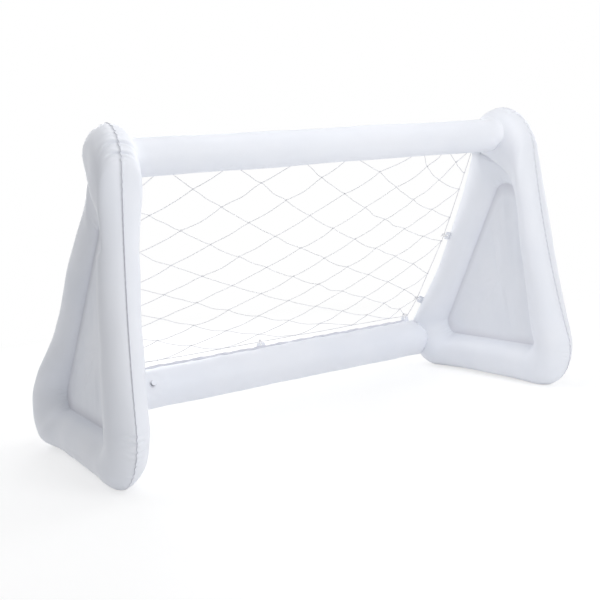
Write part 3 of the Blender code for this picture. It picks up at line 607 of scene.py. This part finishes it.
def bar_ends(name, frames, angles, flare):
    """How far each line of a bar's sleeve runs out to the left and the right frame."""
    y, z, radius, _ = BARS[name]
    ends = []
    for side in (-1, 1):
        hits = []
        for angle, wider in zip(angles, flare):
            reach = radius + wider - BAR_RAY_INSET
            origin = Vector((0, y + reach * math.sin(angle), z + reach * math.cos(angle)))
            hit = frames[side].ray_cast(origin, Vector((side, 0, 0)))[0]
            hits.append(abs(hit.x) if hit else plane_x(z) - 0.02)
        hits = np.array(hits)
        for _ in range(3):
            hits = (np.roll(hits, 1) + 2 * hits + np.roll(hits, -1)) / 4
        ends.append(hits + BAR_SINK)
    return ends


def angle_from(angles, middle):
    """Angles counted from a middle, between minus and plus half a turn."""
    return (angles - middle + math.pi) % (2 * math.pi) - math.pi


def bar_sleeve(name, frames, material):
    """A bar's sleeve between the side frames, and its lengthwise weld."""
    y, z, radius, turn = BARS[name]
    angles = full_turn(BAR_AROUND)
    flare = np.zeros(BAR_AROUND)
    if name == "crossbar":
        flare = CROSSBAR_FLARE * smooth((np.cos(angles + FLARE_TURN) + FLARE_EDGE) / (2 * FLARE_EDGE))
    ends = bar_ends(name, frames, angles, flare)
    share = np.linspace(-1, 1, BAR_ALONG)[:, None]
    share = np.sign(share) * (1 - (1 - np.abs(share)) ** BAR_CROWDING)
    end = np.where(share < 0, *ends)
    x = share * end
    to_end = end - np.abs(x)

    lumps = np.zeros_like(x)
    for number, twist, size, phase in BAR_WAVES:
        lumps += size * np.sin(2 * math.pi * number * x + phase) * np.cos(twist * angles + phase * 2)
    into = np.clip(1 - to_end / (flare * 2.0 + 1e-6), 0, 0.999)
    fillet = flare * (1 - np.sqrt(1 - into**2))
    crease = smooth(1 - flare / FLARE_FREE)
    neck = sum(size * bell(to_end - place, half) for size, place, half in BAR_NECK)
    gather = BAR_GATHER_SIZE * np.sin(angles * BAR_GATHERS + 0.6) * bell(to_end, BAR_GATHER_REACH)
    off = angle_from(angles, turn)
    crinkle = bell(off, BAR_CRINKLE_HALF) * waves(x, BAR_CRINKLES)
    pinch = BAR_PINCH * bell(off, BAR_PINCH_HALF)
    reach = radius + lumps + fillet + crease * (neck + gather) + crinkle - pinch

    across = off * radius
    for key, (foot, _, _) in tab_seats().items():
        if key.startswith(name):
            flat = np.hypot(x - foot.x, across)
            hold = bell(flat, TAB_HOLD)
            rays = TAB_RAY_SIZE * np.sin(TAB_RAYS * np.arctan2(across, x - foot.x))
            reach = reach * (1 - hold) + radius * hold + rays * bell(flat - TAB_RAY_PLACE, TAB_RAY_HALF)
    if name == "floor_bar":
        flat = np.hypot(x - VALVE_SEAT.x, angle_from(angles, -VALVE_TURN) * radius)
        reach += (radius - reach) * bell(flat, VALVE_HOLD)
    grid = np.stack((x, y + reach * np.sin(angles), z + reach * np.cos(angles)), -1)
    vertices = grid.reshape(-1, 3)
    faces = turned(grid_faces(BAR_ALONG, BAR_AROUND))
    if name == "floor_bar":
        vertices, faces = open_at_valve(vertices, faces)
    piece = add_piece(f"{name}_vinyl", vertices, faces, material)
    # Weld grey at the ends, only where they crease into the frames: weld colour and painted shade of the
    # crease. The valve's ring gets a fixed share of weld grey.
    weld_and_shade = (bell(to_end, BAR_END_WELD_SHADE) * crease).ravel()
    mark_weld_and_shade(piece, np.append(weld_and_shade, np.full(len(vertices) - len(weld_and_shade), 0.4)))
    give_thickness(piece)
    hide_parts(f"{name}_sleeve")
    bar_weld(name, ends, material)


def open_at_valve(vertices, faces):
    """Opens the sleeve round the valve, dimples it there, and lays the weld's ring round the stem."""
    axis = np.array((0, -math.sin(VALVE_TURN), math.cos(VALVE_TURN)))
    sideways = np.array((1.0, 0, 0))
    upward = np.cross(axis, sideways)
    local = vertices - np.array(VALVE_SEAT)
    a, b, height = local @ sideways, local @ upward, local @ axis
    flat = np.hypot(a, b)
    outside = height > -VALVE_SIDE
    bowl = sum(size * bell(flat - place, half) for size, place, half in VALVE_BOWL)
    rays = VALVE_RAY_SIZE * np.sin(VALVE_RAYS * np.arctan2(b, a))
    lift = np.where(outside, bowl + rays * bell(flat - VALVE_RAY_PLACE, VALVE_RAY_HALF), 0.0)
    vertices = vertices + lift[:, None] * axis

    def terms(a, b):
        return np.stack((np.ones_like(a), a, b, a * a, a * b, b * b), -1)

    near = outside & (flat > VALVE_HOLE) & (flat < VALVE_FIT)
    curve = np.linalg.lstsq(terms(a[near], b[near]), (height + lift)[near], rcond=None)[0]
    inner = set(np.flatnonzero(outside & (flat < VALVE_HOLE)))
    kept = [face for face in faces if not all(i in inner for i in face)]
    rim = {i for face in kept for i in face if i in inner}
    for i in rim:
        vertices[i] += (VALVE_HOLE / max(flat[i], 1e-6) - 1) * (a[i] * sideways + b[i] * upward)
    turn = full_turn(VALVE_RING_STEPS)
    rings = [vertices]
    for reach, rise in VALVE_RING:
        x, y = reach * np.cos(turn), reach * np.sin(turn)
        up = terms(x, y) @ curve + rise
        rings.append(np.array(VALVE_SEAT) + x[:, None] * sideways + y[:, None] * upward + up[:, None] * axis)
    ring_faces = turned(grid_faces(len(VALVE_RING), VALVE_RING_STEPS))
    kept += [tuple(i + len(vertices) for i in face) for face in ring_faces]
    return np.concatenate(rings), kept


def bar_weld(name, ends, material):
    """The strip that stands out where the sleeve is welded along its length, a little wavy."""
    y, z, radius, turn = BARS[name]
    half = min(min(ends[0]), min(ends[1])) - BAR_RIM_INSET
    x = np.linspace(-half, half, BAR_RIM_STEPS)
    sway = waves(x, BAR_RIM_SWAY)
    rim = BAR_RIM + waves(x, BAR_RIM_WAVES)
    taper = smooth((half - np.abs(x)) / BAR_RIM_TAPER)
    section = [(-SHEET, level) for level in (-1, 0.5, 1.0)] + [(SHEET, level) for level in (1.0, 0.5, -1)]
    rows = []
    for thickness, level in section:
        height = np.where(level < 0, -BAR_RIM_ROOT, level * rim * taper)
        across = -WELD_SHIFT + thickness + sway * max(level, 0) * taper
        rows.append(np.stack((x, across, radius + height), -1))
    rows = np.array(rows)
    c, s = math.cos(turn), math.sin(turn)
    depth = y + c * rows[..., 1] + s * rows[..., 2]
    world = np.stack((rows[..., 0], depth, z - s * rows[..., 1] + c * rows[..., 2]), -1)
    count = len(section)
    faces = grid_faces(len(x), count)
    faces += [tuple(range(count))[::-1], tuple((len(x) - 1) * count + i for i in range(count))]
    piece = add_piece(f"{name}_weld", np.transpose(world, (1, 0, 2)).reshape(-1, 3), turned(faces), material)
    # The strip is drawn greyer towards its edge: partly the weld's colour, partly painted shade along the
    # bar's top.
    mark_weld_and_shade(piece, np.tile((0.2, 0.6, 1.0, 1.0, 0.6, 0.2), len(x)))


# Net
def along_path(path, share):
    lengths = [(b - a).length for a, b in zip(path, path[1:])]
    rest = share * sum(lengths)
    for start, end, length in zip(path, path[1:], lengths):
        if rest <= length:
            return start.lerp(end, rest / length)
        rest -= length
    return path[-1].copy()


def cord_ties(seats):
    """Where the loops hold the border cord, and its corners."""
    ties = {}
    for name, (foot, normal, along) in seats.items():
        is_corner = "bar" in name and "middle" not in name
        overrun = math.copysign(CORNER_OVERRUN, foot.x) if is_corner else 0.0
        ties[name] = foot + normal * (TAB_CLEARANCE + CORD_REACH) + along * overrun
    return ties


def net_knots(ties):
    """Every knot's place, on the border along its cord and inside pulled evenly by its neighbours."""
    paths = {
        "top": [ties["crossbar_tab_left"], ties["crossbar_tab_right"]],
        "floor": [ties["floor_bar_tab_left"], ties["floor_bar_tab_right"]],
    }
    for label in ("left", "right"):
        legs = (f"{label}_leg_tab_upper", f"{label}_leg_tab_lower")
        names = (f"crossbar_tab_{label}", *legs, f"floor_bar_tab_{label}")
        paths[label] = [ties[name] for name in names]
    held = {}
    for number, share in enumerate(TOP_TIES):
        held[0, 2 * number] = along_path(paths["top"], share)
    for number, share in enumerate(FLOOR_TIES):
        held[NET_ROWS, 2 * number - 1] = along_path(paths["floor"], share)
    for number, share in enumerate(LEFT_TIES):
        held[2 * number + 1, -1] = along_path(paths["left"], share)
    right_knots = [(2, NET_COLUMNS)] + [(row, NET_COLUMNS - 1) for row in range(3, NET_ROWS, 2)]
    for knot, share in zip(right_knots, RIGHT_TIES):
        held[knot] = along_path(paths["right"], share)
    for tie in ties.values():
        nearest = min(held, key=lambda knot: (held[knot] - tie).length)
        if (held[nearest] - tie).length < SNAP_REACH:
            held[nearest] = tie
    free = []
    for row in range(1, NET_ROWS):
        for column in range(0, NET_COLUMNS):
            inside = column < NET_COLUMNS - 1 or row < 3
            if (row + column) % 2 == 0 and inside and (row, column) not in held:
                free.append((row, column))
    number_of = {knot: number for number, knot in enumerate(free)}
    pull = np.zeros((len(free), len(free)))
    load = np.zeros((len(free), 3))
    load[:, 2] = -NET_SAG
    for (row, column), number in number_of.items():
        for neighbour in ((row + a, column + b) for a in (-1, 1) for b in (-1, 1)):
            if neighbour in number_of:
                pull[number, number] += 1
                pull[number, number_of[neighbour]] -= 1
            elif neighbour in held:
                pull[number, number] += 1
                load[number] += np.array(held[neighbour])
    solved = np.linalg.solve(pull, load)
    knots = dict(held)
    for knot, number in number_of.items():
        knots[knot] = Vector(solved[number])
    return knots, set(held)


def net_strings(knots):
    """Pairs of knots joined by a string, and those joined by the border cord."""
    pairs = {}
    for row in range(NET_ROWS + 1):
        for column in range(-1, NET_COLUMNS + 1):
            if (row + column) % 2 == 0:
                continue
            around = [(row - 1, column), (row, column + 1), (row + 1, column), (row, column - 1)]
            around = [knot for knot in around if knot in knots]
            if len(around) > 2:
                for pair in zip(around, around[1:] + around[:1]):
                    pairs[tuple(sorted(pair))] = True
    strings, border = [], []
    for first, second in pairs:
        diagonal = abs(first[0] - second[0]) == 1 and abs(first[1] - second[1]) == 1
        (strings if diagonal else border).append((first, second))
    return strings, border


def tube(path, string, closed=False):
    """Vertices and faces of a string along a path, its section turning like a two-ply twist."""
    radius, sides, twist, lobes = string
    path = np.asarray(path, float)
    count = len(path)
    run = np.roll(path, -1, 0) - np.roll(path, 1, 0) if closed else np.gradient(path, axis=0)
    run /= np.linalg.norm(run, axis=1, keepdims=True)
    first = np.cross(run[0], (0.3, 0.2, 0.93) if abs(run[0][2]) < 0.9 else (1, 0, 0))
    gone = np.concatenate(((0,), np.cumsum(np.linalg.norm(np.diff(path, axis=0), axis=1))))
    angles = full_turn(sides)
    vertices = []
    for place, direction, travelled in zip(path, run, gone):
        first = first - direction * (first @ direction)
        first /= np.linalg.norm(first)
        second = np.cross(direction, first)
        reach = radius * (1 + lobes * np.cos(2 * (angles - travelled * twist)))[:, None]
        vertices.append(place + reach * (np.cos(angles)[:, None] * first + np.sin(angles)[:, None] * second))
    faces = grid_faces(count, sides)
    last = (count - 1) * sides
    if closed:
        faces += [(last + j, last + (j + 1) % sides, (j + 1) % sides, j) for j in range(sides)]
    else:
        faces += [tuple(range(sides))[::-1], tuple(last + j for j in range(sides))]
    return np.concatenate(vertices), faces


def overhand(place, normal, size):
    """A small knot's path: a trefoil pulled tight round the crossing."""
    normal = Vector(normal).normalized()
    side = normal.cross(Vector((0.2, 0.3, 1))).normalized()
    up = normal.cross(side)
    turn = full_turn(20)
    a = size * (np.sin(turn) + 1.4 * np.sin(2 * turn)) / 2
    b = size * (np.cos(turn) - 1.4 * np.cos(2 * turn)) / 2
    c = -size * 0.55 * np.sin(3 * turn)
    path = np.array(place)
    for reach, axis in ((a, side), (b, up), (c, normal)):
        path = path + reach[:, None] * np.array(axis)
    return path


def join(parts):
    vertices, faces, first = [], [], 0
    for points, polygons in parts:
        vertices.append(points)
        faces += [tuple(i + first for i in face) for face in polygons]
        first += len(points)
    return np.concatenate(vertices), faces


def string_path(start, end, spacing):
    """Points of the straight line between two knots, and how far along it each is."""
    share = np.linspace(0, 1, max(int((end - start).length / spacing), 6))
    return np.array(start) + (np.array(end) - np.array(start)) * share[:, None], share


def make_net(seats, material):
    """Twisted strings between knots, the border cord, and the loops that hold it in the tabs."""
    ties = cord_ties(seats)
    knots, held = net_knots(ties)
    strings, border = net_strings(knots)
    random = np.random.default_rng(5)
    parts = []
    for first, second in strings:
        a, b = knots[first], knots[second]
        path, share = string_path(a, b, STRING_STEP)
        sag = 4 * share * (1 - share)
        down = random.uniform(*STRING_SAG) * min((b - a).length / 0.06, 1.5)
        sideways = random.normal(0, STRING_BOW)
        wave = random.normal(0, STRING_WAVE) * np.sin(3 * math.pi * share)
        path[:, 2] -= sag * down
        path += np.array((b - a).cross(NET_SLOPE).normalized()) * (sag * sideways + wave)[:, None]
        parts.append(tube(path, STRING))
    net = add_piece("net_strings", *join(parts), material, slot="white_string")
    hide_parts("net")

    parts = []
    for first, second in border:
        a, b = knots[first], knots[second]
        path, share = string_path(a, b, CORD_STEP)
        path[:, 2] -= 4 * share * (1 - share) * random.uniform(*CORD_SAG)
        for tie in ties.values():
            apart = np.linalg.norm(path - np.array(tie), axis=1)
            nearest = np.argmin(apart)
            if 0 < nearest < len(path) - 1 and apart[nearest] < TIE_REACH:
                pull = bell((share - share[nearest]) * (b - a).length, TIE_PULL)
                path += pull[:, None] * (np.array(tie) - path[nearest])
        parts.append(tube(path, CORD))
    cord = add_piece("net_border_cord", *join(parts), material, slot="white_string")
    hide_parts("net")

    parts = []
    for knot, place in sorted(knots.items()):
        normal = NET_SLOPE + Vector(random.normal(0, KNOT_TUMBLE, 3))
        size = TIE_KNOT_SIZE if knot in held else KNOT_SIZE
        parts.append(tube(overhand(place, normal, size), KNOT_STRING, closed=True))
    lumps = add_piece("net_knots", *join(parts), material, slot="white_string")
    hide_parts("net")

    for name, seat in seats.items():
        loop = string_loop(*seat)
        piece = add_piece(name.replace("tab", "string_loop"), *loop, material, slot="white_string")
        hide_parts(name.replace("tab", "loop"))


def string_loop(foot, normal, along):
    """The loop through a tab's hole, its knot, and the two cut ends of its string."""
    turn = full_turn(40)
    across = normal.cross(along)
    base = foot + normal * TAB_CLEARANCE
    wobble = 1 + LOOP_WOBBLE * np.sin(3 * turn)
    up = LOOP_CENTRE - LOOP_RADIUS * np.cos(turn) * wobble
    beside = LOOP_RADIUS * np.sin(turn) * wobble
    path = np.array(base) + up[:, None] * np.array(normal) + beside[:, None] * np.array(across)
    parts = [tube(path, LOOP_STRING, closed=True)]
    top = base + normal * (LOOP_CENTRE + LOOP_RADIUS)
    parts.append(tube(overhand(top, normal, LOOP_KNOT_SIZE), LOOP_KNOT_STRING, closed=True))
    for side in (-1, 1):
        step = np.linspace(0, 1, 7)[:, None]
        tip = np.array(normal * TAIL_RISE + along * side * TAIL_SPREAD + Vector((0, 0, -TAIL_FALL)))
        tail = np.array(top) + step * tip + step**2 * np.array((0, 0, -TAIL_BEND))
        parts.append(tube(tail, TAIL_STRING))
    return join(parts)


# Materials
def node_material(name):
    material = bpy.data.materials.new(name)
    material.use_nodes = True
    tree = material.node_tree
    return material, tree, tree.nodes["Principled BSDF"]


def noise(tree, scale, detail=3.0, roughness=0.5, stretch=None):
    node = tree.nodes.new("ShaderNodeTexNoise")
    coordinates = tree.nodes.new("ShaderNodeTexCoord")
    node.inputs["Scale"].default_value = scale
    node.inputs["Detail"].default_value = detail
    node.inputs["Roughness"].default_value = roughness
    source = coordinates.outputs["Object"]
    if stretch:
        mapping = tree.nodes.new("ShaderNodeMapping")
        mapping.inputs["Scale"].default_value = stretch
        tree.links.new(source, mapping.inputs["Vector"])
        source = mapping.outputs["Vector"]
    tree.links.new(source, node.inputs["Vector"])
    return node.outputs[0]


def map_range(tree, source, low, high, to_low, to_high):
    node = tree.nodes.new("ShaderNodeMapRange")
    for key, value in (("From Min", low), ("From Max", high), ("To Min", to_low), ("To Max", to_high)):
        node.inputs[key].default_value = value
    tree.links.new(source, node.inputs["Value"])
    return node.outputs["Result"]


def mix_color(tree, source, first, second):
    """A colour between two, each a plain colour or a node's output."""
    node = tree.nodes.new("ShaderNodeMix")
    node.data_type = "RGBA"
    for key, color in ((6, first), (7, second)):
        if isinstance(color, tuple):
            node.inputs[key].default_value = (*color, 1)
        else:
            tree.links.new(color, node.inputs[key])
    tree.links.new(source, node.inputs[0])
    return node.outputs[2]


def bump(tree, source, distance, strength, under=None):
    node = tree.nodes.new("ShaderNodeBump")
    node.inputs["Distance"].default_value = distance
    node.inputs["Strength"].default_value = strength
    tree.links.new(source, node.inputs["Height"])
    if under:
        tree.links.new(under, node.inputs["Normal"])
    return node.outputs["Normal"]


def vinyl_material():
    """White vinyl sheet: satin, faintly cool, with soft draw marks and a duller, greyer weld, whose grey also
    paints shade along the seams, the web's edge and the bars' creased ends.
    """
    material, tree, shader = node_material("white_vinyl_sheet")
    cloud = map_range(tree, noise(tree, 9.0, 2.0), 0.35, 0.65, 0, 1)
    tone = mix_color(tree, cloud, (0.845, 0.868, 0.925), (0.872, 0.890, 0.940))
    weld_and_shade = tree.nodes.new("ShaderNodeAttribute")
    weld_and_shade.attribute_name = "weld_and_shade"
    weld_and_shade_amount = map_range(tree, weld_and_shade.outputs["Fac"], 0.0, 1.0, 0.0, 0.75)
    # Grey mixed in by the per-point weld attribute: partly the weld's own colour, partly painted shade of the
    # seams' grooves and creases.
    tree.links.new(mix_color(tree, weld_and_shade_amount, tone, (0.60, 0.59, 0.67)), shader.inputs["Base Color"])
    haze = noise(tree, 38.0, 4.0)
    tree.links.new(map_range(tree, haze, 0.3, 0.7, 0.40, 0.52), shader.inputs["Roughness"])
    normal = bump(tree, noise(tree, 55.0, 3.0, 0.55), 0.0010, 0.14)
    normal = bump(tree, noise(tree, 900.0, 2.0), 0.0001, 0.25, normal)
    tree.links.new(normal, shader.inputs["Normal"])
    shader.inputs["IOR"].default_value = 1.5
    shader.inputs["Specular IOR Level"].default_value = 0.4
    return material


def clear_vinyl_material():
    """The valve's soft translucent vinyl, greyish, with fine mould marks."""
    material, tree, shader = node_material("clear_vinyl_mould")
    cloud = map_range(tree, noise(tree, 420.0, 3.0), 0.35, 0.65, 0, 1)
    tone = mix_color(tree, cloud, (0.50, 0.51, 0.55), (0.60, 0.61, 0.65))
    tree.links.new(tone, shader.inputs["Base Color"])
    tree.links.new(map_range(tree, noise(tree, 900.0, 2.0), 0.3, 0.7, 0.22, 0.34), shader.inputs["Roughness"])
    tree.links.new(bump(tree, noise(tree, 1500.0, 2.0), 0.0001, 0.3), shader.inputs["Normal"])
    shader.inputs["Transmission Weight"].default_value = 0.25
    shader.inputs["IOR"].default_value = 1.5
    return material


def string_material():
    """Twisted white string: dull fibres with faint grey soil in the lay."""
    material, tree, shader = node_material("twisted_white_string")
    cloud = map_range(tree, noise(tree, 160.0, 4.0, 0.6), 0.3, 0.7, 0, 1)
    tone = mix_color(tree, cloud, (0.74, 0.74, 0.77), (0.86, 0.86, 0.88))
    tree.links.new(tone, shader.inputs["Base Color"])
    tree.links.new(map_range(tree, noise(tree, 800.0, 2.0), 0.3, 0.7, 0.75, 0.95), shader.inputs["Roughness"])
    fibre = noise(tree, 2200.0, 3.0, 0.6, stretch=(1.0, 1.0, 2.4))
    tree.links.new(bump(tree, fibre, 0.0002, 0.5), shader.inputs["Normal"])
    shader.inputs["Specular IOR Level"].default_value = 0.2
    shader.inputs["Sheen Weight"].default_value = 0.15
    return material


# Scene round the goal
def camera():
    """The photograph's camera: where it stands, and its turn, tilt and roll."""
    turn, tilt, roll = (math.radians(v) for v in (-29.2538, 7.2781, -4.9762))
    forward = Vector((-math.sin(turn) * math.cos(tilt), math.cos(turn) * math.cos(tilt), -math.sin(tilt)))
    right = Vector((math.cos(turn), math.sin(turn), 0))
    up = right.cross(forward)
    right, up = right * math.cos(roll) + up * math.sin(roll), up * math.cos(roll) - right * math.sin(roll)
    data = bpy.data.cameras.new("camera")
    data.sensor_width = 36
    data.lens = 54.70
    data.clip_start = 0.01
    body = bpy.data.objects.new("camera", data)
    bpy.context.scene.collection.objects.link(body)
    place = Matrix.Translation((-0.9513, -1.6767, 0.4959))
    body.matrix_world = place @ Matrix((right, up, -forward)).transposed().to_4x4()
    bpy.context.scene.camera = body


def area_light(name, place, target, size, power):
    data = bpy.data.lights.new(name, "AREA")
    data.shape = "DISK"
    data.size = size
    data.energy = power
    light = bpy.data.objects.new(name, data)
    bpy.context.scene.collection.objects.link(light)
    light.location = place
    light.visible_camera = False
    light.rotation_euler = (Vector(target) - Vector(place)).to_track_quat("-Z", "Y").to_euler()


def seen_directly(tree):
    """1 where the camera sees a thing itself or in a gloss or clear surface."""
    rays = tree.nodes.new("ShaderNodeLightPath").outputs
    seen = rays["Is Camera Ray"]
    for other in ("Is Glossy Ray", "Is Transmission Ray"):
        either = tree.nodes.new("ShaderNodeMath")
        either.operation = "MAXIMUM"
        tree.links.new(seen, either.inputs[0])
        tree.links.new(rays[other], either.inputs[1])
        seen = either.outputs[0]
    return seen


def floor_material():
    """Lights the goal like pale card, but is seen as white with a soft shadow, plain white far out."""
    material, tree, shader = node_material("floor")
    tree.nodes.remove(shader)

    def emission(strength):
        node = tree.nodes.new("ShaderNodeEmission")
        node.inputs["Strength"].default_value = strength
        return node.outputs[0]

    def diffuse(grey):
        node = tree.nodes.new("ShaderNodeBsdfDiffuse")
        node.inputs["Color"].default_value = (grey, grey, grey, 1)
        return node.outputs[0]

    def combine(kind, *sources):
        node = tree.nodes.new(kind)
        for number, source in enumerate(sources):
            tree.links.new(source, node.inputs[number])
        return node.outputs[0]

    reach = tree.nodes.new("ShaderNodeVectorMath")
    reach.operation = "LENGTH"
    tree.links.new(tree.nodes.new("ShaderNodeTexCoord").outputs["Object"], reach.inputs[0])
    far = map_range(tree, reach.outputs["Value"], 1.0, 1.8, 0, 1)
    soft = combine("ShaderNodeAddShader", diffuse(0.49), emission(0.60))
    seen = combine("ShaderNodeMixShader", far, soft, emission(1.0))
    card = combine("ShaderNodeAddShader", diffuse(0.94), emission(0.08))
    surface = combine("ShaderNodeMixShader", seen_directly(tree), card, seen)
    tree.links.new(surface, tree.nodes["Material Output"].inputs["Surface"])
    return material


def studio():
    """Soft light from all round, a white background and a pale floor."""
    world = bpy.data.worlds.new("studio")
    bpy.context.scene.world = world
    world.use_nodes = True
    tree = world.node_tree
    background = tree.nodes["Background"]
    seen = seen_directly(tree)
    tree.links.new(map_range(tree, seen, 0, 1, 0.33, 1.0), background.inputs["Strength"])
    tree.links.new(mix_color(tree, seen, (0.97, 0.98, 1.0), (1.0, 1.0, 1.0)), background.inputs["Color"])

    bpy.ops.mesh.primitive_plane_add(size=60)
    floor = bpy.context.object
    floor.name = "floor"
    floor.data.materials.append(floor_material())
    area_light("front", (0.0, -1.3, 1.4), (0.1, 0, 0.3), 0.9, 4.6)
    area_light("low", (0.15, -1.7, 0.7), (0.1, 0, 0.3), 0.9, 5.7)
    area_light("top", (0.0, -0.2, 1.6), (0, 0, 0.2), 0.9, 4.1)
    area_light("back", (0.0, 1.5, 0.9), (0, 0, 0.3), 1.2, 9.0)
    area_light("left", (-1.3, -0.3, 1.3), (-0.4, 0, 0.4), 0.9, 0.5)
    area_light("rear_left", (-1.3, 0.9, 1.5), (-0.5, 0, 0.4), 0.9, 4.4)
    area_light("right", (2.8, 0.2, 1.4), (0, 0, 0.3), 2.0, 25.0)
    bpy.context.scene.view_settings.view_transform = "Standard"


def main():
    camera()
    vinyl, clear, string = vinyl_material(), clear_vinyl_material(), string_material()
    surfaces = {}
    for side, label in ((-1, "left"), (1, "right")):
        frame_sheet(f"{label}_vinyl_outer_sheet", side, 1, vinyl)
        inner = frame_sheet(f"{label}_vinyl_inner_sheet", side, -1, vinyl).data
        points = [vertex.co for vertex in inner.vertices]
        surfaces[side] = BVHTree.FromPolygons(points, [list(face.vertices) for face in inner.polygons])
    for name in BARS:
        bar_sleeve(name, surfaces, vinyl)
    make_net(tab_seats(), string)
    for name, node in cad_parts.items():
        if not node.hide_render:
            material = clear if name.startswith("valve") and name != "valve_plug" else vinyl
            node.data.materials.clear()
            node.data.materials.append(material)
    studio()


main()
